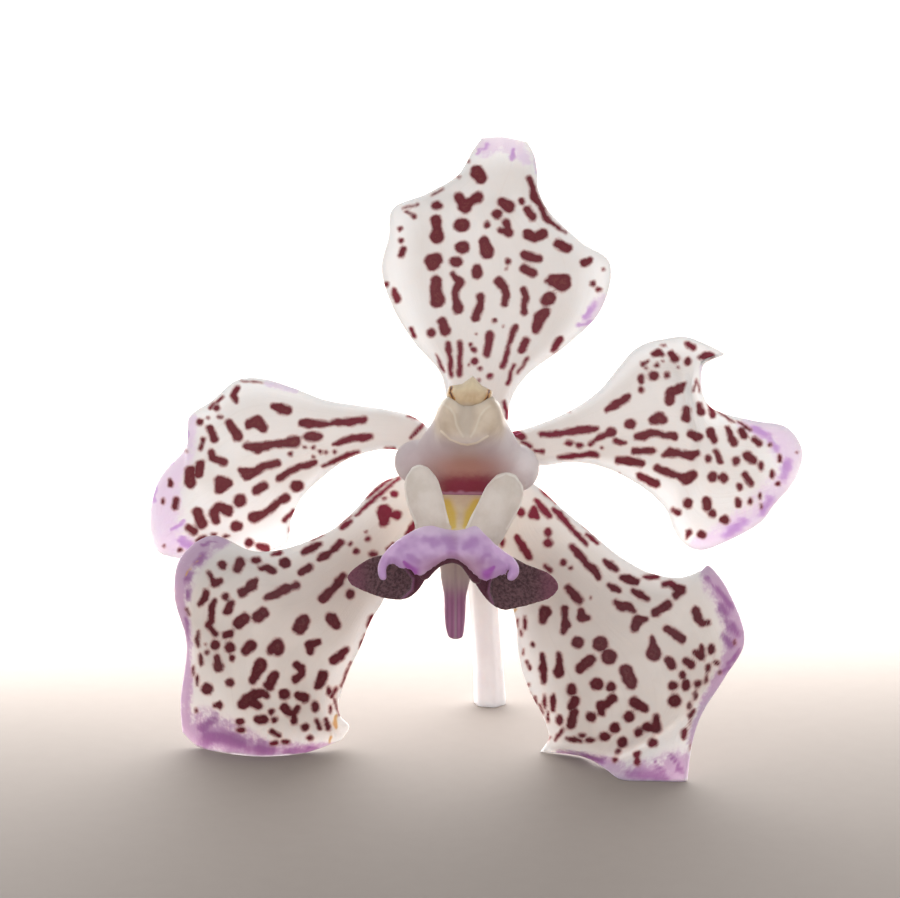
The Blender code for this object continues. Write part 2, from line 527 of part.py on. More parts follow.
def main():
    for old in list(bpy.data.objects):
        bpy.data.objects.remove(old)
    flower = bpy.data.collections.new(COLLECTION_NAME)
    helpers = bpy.data.collections.new("helpers")
    bpy.context.scene.collection.children.link(flower)
    bpy.context.scene.collection.children.link(helpers)
    materials = {name: add_material(name, *look) for name, look in COLOURS.items()}
    blades = {
        "dorsal_sepal": DORSAL_SEPAL,
        "petal_left": PETAL_LEFT,
        "petal_right": PETAL_RIGHT,
        "lateral_sepal_left": LATERAL_SEPAL_LEFT,
        "lateral_sepal_right": LATERAL_SEPAL_RIGHT,
    }
    standing = []
    for name, lines in blades.items():
        blade = add_blade(name, lines, BLADE_THICKNESS, flower, materials["white"])
        if name.startswith("lateral"):
            standing.append(blade)
    add_lip(flower, helpers, materials["lip"])
    add_column(flower, helpers, materials["column"])
    add_cap(flower, helpers, materials["cap"])
    add_pollinarium(flower, helpers, materials["pollinia"])
    standing.append(add_pedicel(flower, materials["pedicel"]))
    ground = add_ground(helpers)
    for piece in standing:
        combine(piece, ground, "DIFFERENCE")


main()
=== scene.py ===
"""Looks of the orchid bloom: spotted white sepals and petals, a violet and maroon lip, the column
with its anther cap, the pollinia and the pedicel, on a plain pale floor in soft light.

Shapes are laid out as the CAD part is: in millimetres as the bloom is seen from the front, x to
the right and up from the middle of its face, and depth away from the viewer.
"""

import math

import bmesh
import bpy
import numpy as np
from mathutils import Matrix, Vector
from mathutils.bvhtree import BVHTree


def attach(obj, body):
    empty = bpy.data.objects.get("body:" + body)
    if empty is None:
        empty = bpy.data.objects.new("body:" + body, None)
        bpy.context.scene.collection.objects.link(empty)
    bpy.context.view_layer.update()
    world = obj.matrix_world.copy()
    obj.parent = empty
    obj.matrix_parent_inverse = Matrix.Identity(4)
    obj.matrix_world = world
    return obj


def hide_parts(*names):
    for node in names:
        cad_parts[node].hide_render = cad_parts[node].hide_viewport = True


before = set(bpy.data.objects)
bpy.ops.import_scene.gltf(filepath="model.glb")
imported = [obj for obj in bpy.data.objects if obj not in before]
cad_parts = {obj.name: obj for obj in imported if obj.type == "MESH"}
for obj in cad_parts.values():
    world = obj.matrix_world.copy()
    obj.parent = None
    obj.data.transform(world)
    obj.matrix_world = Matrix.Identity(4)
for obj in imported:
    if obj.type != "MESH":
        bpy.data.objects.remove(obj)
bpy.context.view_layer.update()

MM = 0.001
FACE_MIDDLE = Vector((-0.0027, -0.0022, 0.0323))
LAYOUT_DISTANCE = 0.330  # from the viewer to the middle of the face
FACE_TILT = math.radians(14.0)
RIGHT = Vector((1.0, 0.0, 0.0))
UP = Vector((0.0, math.sin(FACE_TILT), math.cos(FACE_TILT)))
BACK = Vector((0.0, math.cos(FACE_TILT), -math.sin(FACE_TILT)))
# The same three ways, for shapes in the layout
SIDEWAYS, UPWARDS, DEEP = (1, 0, 0), (0, 1, 0), (0, 0, 1)

# Where the photograph shows the middle of the face, and its scale there
PHOTO_MIDDLE = (450.0, 449.0)
PIXELS_PER_MM = 10.0
SENSOR_WIDTH = 36.0
VIEW_WIDTH = 0.090  # how much of the face plane the frame takes in

FOOT = 0.00002  # the least height over the ground
WAVES = 7  # how many waves make up a ripple

BLADE_COLUMNS = 120
BLADE_ROWS = 180
FINE_STEPS = 12  # steps to a column while a line is drawn
LEAST_ROLL = 0.05
ROLL_TUCK = 0.25  # how far a rolled margin tucks in, as a share of its roll
FAR = 9.0  # a distance from the marks at which nothing of them shows
BLADE_THICKNESS = 0.00055
MARGIN_THICKNESS = 0.5  # share of the thickness left at the margins
THICKNESS_STEPS = 5

# Each line of a blade, from claw to tip: the points across it, then how far each of its two
# margins is rolled to the back
DORSAL_SEPAL = [
    ([(0.3, 2.4, 6.4), (3.0, 2.4, 6.2), (5.8, 2.4, 6.4)], 0.2, 0.2),
    ([(-0.3, 4.9, 6.2), (2.9, 4.9, 5.6), (6.1, 4.9, 6.4)], 0.3, 0.3),
    ([(-1.0, 7.7, 6.0), (3.4, 7.7, 5.2), (7.8, 7.5, 6.6)], 0.4, 0.4),
    ([(-3.5, 10.6, 6.6), (3.7, 10.4, 5.3), (11.8, 10.5, 7.4)], 0.5, 0.5),
    ([(-5.7, 14.2, 7.2), (4.0, 13.9, 5.8), (15.1, 14.0, 8.4)], 0.6, 0.6),
    ([(-6.8, 18.1, 7.8), (4.2, 17.9, 6.4), (15.9, 18.7, 9.2)], 0.6, 0.8),
    ([(-6.1, 21.2, 8.4), (4.2, 21.4, 7.1), (12.8, 20.9, 9.4)], 0.8, 1.6),
    ([(-5.5, 24.2, 9.2), (4.2, 24.4, 7.9), (9.6, 24.1, 9.2)], 1.0, 2.0),
    ([(-2.2, 25.6, 9.6), (4.6, 26.1, 8.6), (8.8, 25.9, 9.6)], 1.2, 1.6),
    ([(0.8, 27.4, 10.0), (4.8, 28.1, 9.3), (8.7, 27.7, 10.2)], 0.8, 0.8),
    ([(2.2, 29.7, 11.0), (5.2, 29.7, 10.2), (8.4, 29.4, 11.2)], 0.5, 0.5),
    ([(3.2, 31.1, 11.8), (5.3, 31.2, 11.2), (7.7, 30.7, 12.0)], 0.3, 0.3),
]
PETAL_LEFT = [
    ([(-1.8, -0.7, 5.0), (-1.7, 0.4, 4.9), (-1.6, 1.5, 5.0)], 0.2, 0.2),
    ([(-4.2, -0.3, 5.0), (-3.9, 1.4, 4.8), (-3.6, 3.2, 5.0)], 0.2, 0.2),
    ([(-6.6, 0.0, 5.0), (-6.4, 1.9, 4.6), (-6.2, 3.9, 5.0)], 0.3, 0.3),
    ([(-10.0, -0.9, 5.2), (-9.5, 1.9, 4.4), (-9.2, 4.35, 5.2)], 0.3, 0.3),
    ([(-12.5, -2.6, 5.4), (-12.5, 1.3, 4.4), (-12.5, 4.9, 5.6)], 0.4, 0.5),
    ([(-14.7, -4.7, 5.8), (-15.3, 0.6, 4.6), (-15.7, 6.1, 6.4)], 0.5, 0.6),
    ([(-15.9, -7.1, 6.2), (-18.2, -0.1, 5.0), (-18.8, 7.0, 7.0)], 0.5, 0.8),
    ([(-16.2, -9.2, 6.6), (-20.7, -0.9, 5.4), (-21.4, 6.8, 7.4)], 0.5, 0.9),
    ([(-17.5, -10.0, 6.8), (-23.0, -2.1, 5.8), (-23.8, 4.8, 7.6)], 0.5, 0.9),
    ([(-20.0, -10.7, 7.0), (-25.0, -4.1, 6.4), (-26.1, 3.1, 8.0)], 0.4, 0.9),
    ([(-22.8, -11.3, 7.4), (-26.8, -6.3, 7.0), (-26.4, 0.2, 8.2)], 0.4, 0.8),
    ([(-25.5, -11.2, 7.8), (-28.2, -7.9, 7.8), (-29.0, -2.9, 8.8)], 0.3, 0.6),
    ([(-27.4, -10.9, 8.4), (-29.0, -9.1, 8.4), (-29.9, -5.8, 9.2)], 0.3, 0.4),
    ([(-28.7, -10.6, 9.0), (-29.5, -9.9, 9.2), (-30.0, -8.1, 9.6)], 0.2, 0.2),
]
PETAL_RIGHT = [
    ([(4.2, 1.5, 5.0), (4.2, 0.2, 4.9), (4.1, -1.1, 5.0)], 0.2, 0.2),
    ([(6.6, 1.8, 5.0), (6.4, 0.2, 4.8), (6.2, -1.5, 5.0)], 0.2, 0.2),
    ([(9.5, 2.7, 5.0), (9.3, 0.6, 4.5), (9.2, -1.65, 5.0)], 0.3, 0.3),
    ([(12.5, 4.1, 5.0), (12.5, 1.2, 4.3), (12.2, -1.3, 5.2)], 0.3, 0.3),
    ([(15.0, 5.9, 5.2), (15.6, 1.7, 4.2), (15.0, -1.7, 5.4)], 0.4, 0.4),
    ([(17.0, 8.3, 5.6), (19.0, 2.1, 4.4), (17.8, -2.9, 5.6)], 0.6, 0.4),
    ([(18.6, 10.0, 6.0), (21.5, 1.7, 4.8), (20.2, -4.5, 6.0)], 0.8, 0.5),
    ([(21.0, 10.9, 6.6), (23.8, 1.1, 5.2), (21.7, -6.2, 6.4)], 0.8, 0.5),
    ([(24.0, 11.1, 7.2), (23.3, 7.0, 6.3), (24.2, 0.6, 5.3), (22.2, -7.6, 6.7)], 0.7, 0.5),
    ([(27.3, 9.7, 7.9), (24.8, 9.2, 7.0), (23.7, 6.2, 6.3), (24.6, 0.3, 5.5), (22.7, -8.6, 6.9)], 0.1, 0.5),
    ([(25.5, 8.6, 7.3), (24.2, 6.6, 6.6), (24.5, 3.2, 6.1), (25.1, -0.5, 5.8), (23.4, -9.4, 7.1)], 0.1, 0.5),
    ([(25.15, 6.7, 7.0), (24.75, 4.9, 6.7), (25.3, 1.6, 6.2), (25.8, -1.0, 6.0),
      (24.2, -9.9, 7.2)], 0.1, 0.5),
    ([(25.6, 4.8, 7.0), (25.9, 2.6, 6.7), (26.8, -1.2, 6.2), (25.4, -10.05, 7.4)], 0.15, 0.5),
    ([(27.0, 3.7, 7.2), (29.0, -1.6, 6.6), (27.2, -9.4, 7.6)], 0.4, 0.5),
    ([(30.5, 2.8, 8.0), (30.7, -2.4, 7.0), (29.5, -8.3, 7.8)], 0.6, 0.5),
    ([(33.6, 2.2, 8.6), (32.2, -2.9, 7.6), (31.3, -7.1, 8.2)], 0.5, 0.4),
    ([(35.1, 0.3, 9.2), (33.7, -3.1, 8.4), (32.5, -5.5, 8.8)], 0.4, 0.3),
    ([(35.2, -1.3, 9.6), (34.7, -2.7, 9.2), (33.8, -4.1, 9.2)], 0.2, 0.2),
]
LATERAL_SEPAL_LEFT = [
    ([(-0.1, -3.4, 6.4), (-1.0, -2.6, 6.2), (-1.6, -1.5, 6.4)], 0.2, 0.2),
    ([(-1.8, -5.7, 6.0), (-3.4, -4.2, 5.8), (-4.9, -2.6, 6.2)], 0.3, 0.3),
    ([(-3.1, -7.9, 5.4), (-5.3, -5.8, 4.8), (-7.2, -3.6, 5.4)], 0.4, 0.4),
    ([(-4.5, -9.9, 4.8), (-7.2, -7.5, 4.0), (-9.5, -6.1, 4.8)], 0.5, 0.5),
    ([(-5.7, -12.4, 4.2), (-9.2, -9.2, 3.2), (-11.7, -8.0, 4.0)], 0.5, 0.5),
    ([(-6.7, -15.1, 3.8), (-11.3, -11.1, 2.4), (-14.2, -9.2, 3.4)], 0.5, 0.5),
    ([(-7.9, -17.1, 3.8), (-13.2, -13.1, 1.8), (-16.8, -10.05, 3.0)], 0.5, 0.5),
    ([(-9.1, -20.0, 4.2), (-14.8, -15.4, 1.4), (-19.8, -10.2, 2.8)], 0.5, 0.6),
    ([(-10.0, -21.9, 4.8), (-16.0, -17.9, 1.4), (-23.7, -8.7, 2.8)], 0.5, 0.7),
    ([(-10.8, -24.1, 5.8), (-17.1, -21.2, 2.0), (-26.9, -10.9, 3.8)], 0.5, 0.9),
    ([(-11.2, -25.5, 7.0), (-17.9, -24.3, 3.2), (-27.5, -14.8, 5.0)], 0.5, 0.9),
    ([(-10.9, -26.8, 8.4), (-18.4, -27.0, 4.8), (-26.3, -19.6, 7.0)], 0.4, 0.8),
    ([(-10.1, -27.8, 9.6), (-18.7, -29.1, 6.2), (-26.9, -25.3, 9.2)], 0.3, 0.6),
    ([(-10.9, -29.1, 10.4), (-14.5, -30.4, 8.4), (-18.8, -31.0, 7.5), (-22.8, -30.5, 8.6),
      (-25.3, -29.7, 10.0), (-26.75, -28.3, 11.0)], 0.2, 0.2),
]
LATERAL_SEPAL_RIGHT = [
    ([(4.1, -1.4, 6.4), (3.4, -2.6, 6.2), (2.4, -3.4, 6.4)], 0.2, 0.2),
    ([(6.7, -2.5, 6.2), (5.8, -3.9, 5.8), (4.3, -5.4, 6.0)], 0.3, 0.3),
    ([(8.8, -3.8, 5.2), (7.2, -5.8, 4.6), (4.6, -7.8, 5.2)], 0.4, 0.4),
    ([(11.1, -5.9, 4.4), (8.6, -8.2, 3.8), (4.1, -10.1, 4.8)], 0.5, 0.5),
    ([(14.0, -8.3, 3.6), (10.1, -10.5, 2.8), (4.7, -12.6, 4.2)], 0.5, 0.5),
    ([(16.9, -10.7, 2.8), (11.8, -12.8, 1.8), (6.0, -15.1, 3.6)], 0.5, 0.5),
    ([(19.8, -12.3, 2.2), (13.5, -15.3, 0.9), (6.6, -17.3, 3.2)], 0.5, 0.5),
    ([(22.8, -12.85, 1.8), (15.2, -17.7, 0.2), (6.8, -19.9, 3.2)], 0.6, 0.5),
    ([(25.0, -12.2, 1.6), (16.5, -20.1, -0.2), (7.2, -22.1, 3.6)], 0.7, 0.5),
    ([(25.95, -11.75, 1.8), (17.5, -22.5, -0.4), (8.0, -24.3, 4.4)], 0.7, 0.5),
    ([(27.9, -14.4, 2.0), (18.4, -24.8, -0.4), (9.1, -26.3, 5.4)], 0.8, 0.5),
    ([(29.4, -19.2, 2.2), (18.4, -27.2, 0.4), (9.7, -27.8, 6.4)], 0.8, 0.5),
    ([(27.3, -23.1, 1.6), (17.6, -29.3, 1.6), (9.9, -28.8, 7.2)], 0.6, 0.4),
    ([(24.8, -27.3, 0.8), (16.7, -30.8, 3.0), (9.6, -29.5, 8.0)], 0.5, 0.3),
    ([(23.7, -33.35, 0.1), (20.0, -33.45, 0.2), (17.2, -33.1, 0.5), (15.3, -31.8, 3.6),
      (13.0, -30.7, 7.2), (9.0, -30.3, 8.8)], 0.2, 0.2),
]

# Rounded bodies, ring by ring: centre x, up and depth, then the two half widths of the ring
LIP_BODY = [
    (1.1, -6.7, 4.4, 0.0, 0.0), (1.1, -6.7, 3.8, 2.3, 1.1), (1.1, -6.9, 2.0, 3.0, 1.5),
    (1.1, -7.6, 0.0, 3.0, 1.6), (1.0, -8.7, -3.0, 2.7, 1.4), (0.7, -9.7, -6.0, 2.4, 1.2),
    (0.5, -10.0, -8.6, 2.1, 1.0), (0.4, -10.1, -10.0, 1.5, 0.7), (0.4, -10.1, -10.8, 0.0, 0.0),
]
THROAT = [
    (1.5, -4.2, 2.6, 0.0, 0.0), (1.5, -4.4, 2.3, 2.9, 0.3), (1.4, -5.0, 1.4, 3.1, 0.45),
    (1.1, -6.4, -0.5, 2.7, 0.5), (0.9, -7.5, -2.2, 2.0, 0.5), (0.8, -8.4, -3.8, 1.5, 0.5),
    (0.7, -9.2, -5.4, 1.2, 0.4), (0.7, -9.5, -6.0, 0.0, 0.0),
]
SIDE_LOBE_LEFT = [
    (-3.05, -1.5, -2.8, 0.0, 0.0), (-3.02, -1.75, -2.85, 0.7, 0.4), (-2.95, -2.2, -2.95, 1.12, 0.55),
    (-2.87, -2.95, -3.1, 1.62, 0.68), (-2.74, -4.0, -3.4, 1.86, 0.8), (-2.5, -5.1, -3.6, 1.92, 0.9),
    (-2.25, -6.1, -3.75, 1.88, 1.0), (-1.85, -7.3, -3.8, 1.78, 1.1), (-1.6, -8.4, -3.8, 1.75, 1.1),
    (-1.5, -9.4, -3.8, 1.3, 1.0), (-1.4, -10.0, -3.8, 0.0, 0.0),
]
SIDE_LOBE_RIGHT = [
    (5.68, -2.25, -2.8, 0.0, 0.0), (5.62, -2.5, -2.85, 0.85, 0.4), (5.55, -2.95, -2.95, 1.3, 0.55),
    (5.45, -3.7, -3.1, 1.85, 0.68), (5.28, -4.5, -3.4, 2.1, 0.8), (4.86, -5.65, -3.6, 2.22, 0.9),
    (4.2, -6.95, -3.75, 2.25, 1.0), (3.7, -8.05, -3.8, 2.15, 1.1), (3.3, -9.2, -3.8, 1.9, 1.1),
    (3.0, -10.0, -3.8, 1.3, 1.0), (2.8, -10.6, -3.8, 0.0, 0.0),
]
WING_LEFT = [
    (-10.35, -12.85, -5.5, 0.0, 0.0), (-10.05, -12.9, -5.6, 0.55, 0.28), (-9.2, -12.8, -5.9, 1.2, 0.4),
    (-7.9, -12.7, -6.3, 1.85, 0.48), (-6.4, -12.75, -6.8, 2.25, 0.55), (-5.0, -12.75, -7.2, 2.38, 0.6),
    (-4.0, -12.6, -7.5, 2.25, 0.65), (-3.1, -12.1, -7.4, 1.95, 0.7), (-2.3, -11.3, -7.4, 1.55, 0.75),
    (-1.4, -10.7, -7.5, 1.2, 0.8), (-0.4, -10.2, -7.7, 1.0, 0.8), (0.6, -9.8, -8.0, 0.0, 0.0),
]
WING_RIGHT = [
    (10.95, -13.8, -5.5, 0.0, 0.0), (10.7, -13.75, -5.6, 0.55, 0.28), (9.9, -13.7, -5.8, 1.3, 0.4),
    (8.9, -13.65, -6.1, 1.7, 0.45), (7.7, -13.6, -6.4, 2.1, 0.5), (6.4, -13.4, -6.8, 2.6, 0.55),
    (5.3, -13.25, -7.2, 2.88, 0.6), (4.2, -12.95, -7.5, 2.65, 0.65), (3.3, -12.45, -7.4, 2.2, 0.7),
    (2.6, -11.9, -7.4, 1.7, 0.75), (1.9, -11.2, -7.5, 1.25, 0.8), (1.0, -10.5, -7.7, 1.0, 0.8),
    (0.0, -10.0, -8.0, 0.0, 0.0),
]
WING_SLANT = 0.45  # how much farther back a wing's upper edge lies, as a share of its height
SPUR = [
    (0.8, -7.2, 0.2, 0.0, 0.0), (0.8, -8.0, 0.2, 2.0, 2.0), (0.75, -9.6, 0.2, 1.95, 1.8),
    (0.65, -11.2, 0.3, 1.68, 1.6), (0.57, -12.8, 0.35, 1.5, 1.4), (0.52, -14.7, 0.5, 1.13, 1.15),
    (0.5, -16.5, 0.7, 1.06, 1.0), (0.5, -17.7, 0.8, 0.96, 0.95), (0.54, -18.5, 0.9, 0.8, 0.8),
    (0.57, -18.9, 0.9, 0.58, 0.55), (0.58, -19.05, 0.9, 0.0, 0.0),
]
# Lines of points across the violet tip, from left to right
LIP_TIP = [
    [(-6.6, -10.5, -10.9), (-6.2, -10.8, -11.2), (-5.7, -11.1, -11.4)],
    [(-6.2, -9.85, -10.6), (-5.5, -10.5, -11.5), (-5.0, -11.3, -12.1)],
    [(-5.2, -9.0, -10.2), (-4.6, -10.1, -11.5), (-4.1, -11.3, -12.5)],
    [(-4.2, -8.35, -9.9), (-3.8, -10.0, -11.6), (-3.5, -11.9, -12.8)],
    [(-3.0, -7.75, -9.7), (-2.9, -9.9, -11.7), (-2.7, -11.9, -12.9)],
    [(-1.9, -7.55, -9.5), (-1.9, -9.5, -11.6), (-1.7, -11.2, -12.9)],
    [(-0.8, -7.85, -9.4), (-0.7, -9.3, -11.5), (-0.7, -10.5, -12.8)],
    [(0.4, -8.05, -9.4), (0.35, -9.2, -11.4), (0.3, -10.2, -12.7)],
    [(1.4, -7.95, -9.4), (1.4, -9.4, -11.5), (1.4, -10.8, -12.8)],
    [(2.6, -7.6, -9.5), (2.5, -9.9, -11.7), (2.5, -12.0, -12.8)],
    [(3.4, -8.3, -9.8), (3.3, -10.4, -11.7), (3.3, -12.5, -12.8)],
    [(4.4, -9.3, -10.1), (4.2, -10.9, -11.6), (4.1, -12.4, -12.6)],
    [(5.3, -10.15, -10.5), (5.0, -11.2, -11.5), (4.9, -12.0, -12.2)],
    [(6.1, -10.8, -10.8), (5.8, -11.3, -11.3), (5.6, -11.8, -11.7)],
]
# The dark flesh under the tip, from wing to wing: x, up, depth and radius
UNDERSIDE = [
    (-3.0, -12.9, -10.2, 0.0), (-2.7, -12.7, -10.4, 0.5), (-1.9, -11.95, -10.9, 0.5),
    (-1.0, -11.3, -11.2, 0.45), (0.3, -11.0, -11.3, 0.45), (1.3, -11.35, -11.2, 0.45),
    (2.1, -12.3, -10.9, 0.5), (2.8, -13.1, -10.4, 0.5), (3.1, -13.4, -10.2, 0.0),
]
# The margins of the tip curl into a hook at each end: x, up, depth and radius
LEFT_HOOK = [
    (-4.3, -9.0, -10.4, 0.0), (-4.6, -9.2, -10.5, 0.3), (-5.6, -10.0, -10.8, 0.42),
    (-6.35, -10.9, -11.1, 0.5), (-6.8, -11.9, -11.5, 0.46), (-6.75, -12.6, -11.8, 0.42),
    (-6.62, -13.0, -12.0, 0.3), (-6.6, -13.15, -12.1, 0.0),
]
RIGHT_HOOK = [
    (3.9, -9.4, -10.4, 0.0), (4.2, -9.7, -10.5, 0.3), (5.2, -10.6, -10.8, 0.45),
    (6.0, -11.25, -11.1, 0.52), (6.4, -11.9, -11.5, 0.52), (6.35, -12.45, -11.8, 0.52),
    (5.95, -12.8, -12.1, 0.42), (5.7, -12.75, -12.3, 0.0),
]
TIP_THICKNESS = 0.0009
LIP_GRAIN = 0.00012  # size of the cells in which the lip's parts are joined
# The creases between the two faces of each wing: how far down, and x there
LEFT_CREASE = ([11.4, 12.9, 14.1, 15.0], [-4.95, -3.7, -3.85, -4.8])
RIGHT_CREASE = ([11.7, 13.3, 14.3, 15.5], [5.05, 3.95, 3.85, 4.3])

COLUMN = [
    (1.9, 3.4, -6.35, 0.0, 0.0), (1.9, 3.4, -6.2, 1.9, 1.85), (1.95, 3.3, -5.7, 2.75, 2.55),
    (1.95, 3.1, -4.7, 3.25, 2.85), (1.95, 2.6, -3.2, 3.45, 3.2), (1.95, 1.8, -1.9, 3.75, 3.3),
    (1.95, 0.9, -0.8, 4.3, 3.3), (1.85, -0.3, 0.3, 5.1, 3.3), (1.75, -1.35, 1.3, 5.7, 3.35),
    (1.7, -1.75, 2.2, 5.7, 3.2), (1.7, -1.9, 3.2, 5.0, 2.7), (1.7, -1.9, 4.0, 3.6, 2.0),
    (1.7, -1.8, 4.35, 0.0, 0.0),
]
# Centre and half sizes of the ear on each side of the column's foot
COLUMN_EARS = [((-3.2, -1.3, 1.9), (2.45, 2.3, 1.8)), ((6.6, -1.9, 1.9), (2.4, 2.45, 1.8))]
COLUMN_GRAIN = 0.0001
# On the end of the column: its lower rim, the two ridges beside its channel and the channel
COLUMN_RIM = (441, 431, 3, 450, 439.4, 3, 461, 443.8, 3, 467.4, 444.8, 3, 477, 442.7, 3, 488, 436, 3)
COLUMN_RIDGES = [
    (443, 404, 1, 450, 408.5, 1, 454.5, 415, 1, 456.5, 425, 1, 460, 432, 1, 463, 437, 1),
    (490, 406, 1, 484, 410.5, 1, 479.5, 417, 1, 477, 425, 1, 474, 432, 1, 471, 437, 1),
]
COLUMN_CHANNEL = (466, 404, 8, 466, 420, 9, 466, 432, 5)
CAP_CENTRE = (1.95, 5.5, -4.7)
CAP_HALF = (2.3, 1.55, 1.8)
# The outline of the cap's top: x, and how high it reaches there
CAP_TOP = ([-0.35, -0.1, 1.2, 2.3, 3.2, 4.25], [5.5, 6.3, 6.5, 7.3, 6.35, 5.8])
CAP_BACK = -4.2  # the depth at which the cap is open
CAP_WALL = 0.0004
CAP_CHEEKS = [(0.85, 5.6), (3.2, 5.5)]  # x and up
SEAT_GAP = -0.005  # less than nothing, so that the cap closes on its seat with no dark line
CAP_MARKS = [
    (451.5, 387.5, 1.5, 450, 392.5, 1.8, 453.5, 399, 1.5),
    (489.2, 390.5, 1.5, 488, 396, 1.8, 485, 402, 1.5),
]
POLLINIUM_CENTRES = [(1.4, 5.3, -5.1), (2.5, 5.3, -5.1)]
POLLINIUM_RADIUS = 0.5
POLLEN_GRAIN = 0.00006
STIPE = [
    (1.95, 5.3, -5.4, 0.0, 0.0), (1.95, 5.3, -5.2, 0.5, 0.3), (1.95, 5.3, -4.6, 0.35, 0.3),
    (1.95, 5.1, -4.0, 0.3, 0.3), (1.95, 4.7, -3.6, 0.3, 0.3), (1.95, 4.3, -3.4, 0.5, 0.3),
    (1.95, 4.0, -3.3, 0.0, 0.0),
]
# The pedicel's middle line, from the knob to past its cut end: x, up, depth and radius
PEDICEL = [
    (1.2, -0.3, 4.75, 0.0), (1.2, -0.3, 4.95, 2.0), (1.2, -0.3, 5.6, 2.6), (1.2, -0.4, 7.6, 2.5),
    (1.3, -1.0, 9.6, 1.8), (1.8, -3.4, 13.5, 1.5), (2.6, -8.0, 18.0, 1.45), (3.2, -14.0, 21.5, 1.4),
    (3.7, -20.0, 23.4, 1.4), (4.0, -25.6, 24.2, 1.55), (4.05, -28.6, 24.6, 1.55),
    (4.05, -28.8, 24.6, 0.0),
]
PEDICEL_RIBS = 6
RIB_TWIST = 0.9  # radians, from end to end

# Folds and flushes on the lip, and the rims of its side lobes where light is painted on, in pixels of the
# photograph
WING_FOLDS = [
    (400.8, 563.6, 2, 413.8, 578.9, 2, 412, 590, 2, 402, 599, 1.5),
    (500.3, 566.6, 2, 489.6, 582, 2, 488.5, 592, 2, 493, 604, 1.5),
]
LOBE_RIM_LIGHTS = [
    (416, 523, 1, 408, 506, 1, 404.5, 489, 1, 406, 477, 1, 412, 468, 1, 420, 465, 1, 429, 468.5, 1,
     437.5, 479, 1, 442, 493, 1, 445.5, 508, 1, 448, 522, 1),
    (467, 528, 1, 474.5, 510, 1, 481, 497, 1, 486.5, 486, 1, 494, 478.5, 1, 506, 473, 1, 516, 477, 1,
     522, 485, 1, 524, 494, 1, 520, 506, 1, 513, 519, 1, 507, 529, 1),
]
VIOLET = [(404, 562, 2, 413.5, 572, 6.5), (494, 567, 2, 487, 574, 6.5)]
BLOTCHES = [
    (424, 538, 4, 432, 541, 7), (446, 536, 6, 451, 548, 6), (474, 540, 6, 466, 546, 5),
    (486, 556, 4, 480, 562, 4), (408, 556, 4, 418, 562, 4),
]
YELLOW = [(446, 505, 8, 450, 514, 7.5, 453, 526, 4), (477, 504, 7, 471, 514, 7.5, 466, 526, 4)]

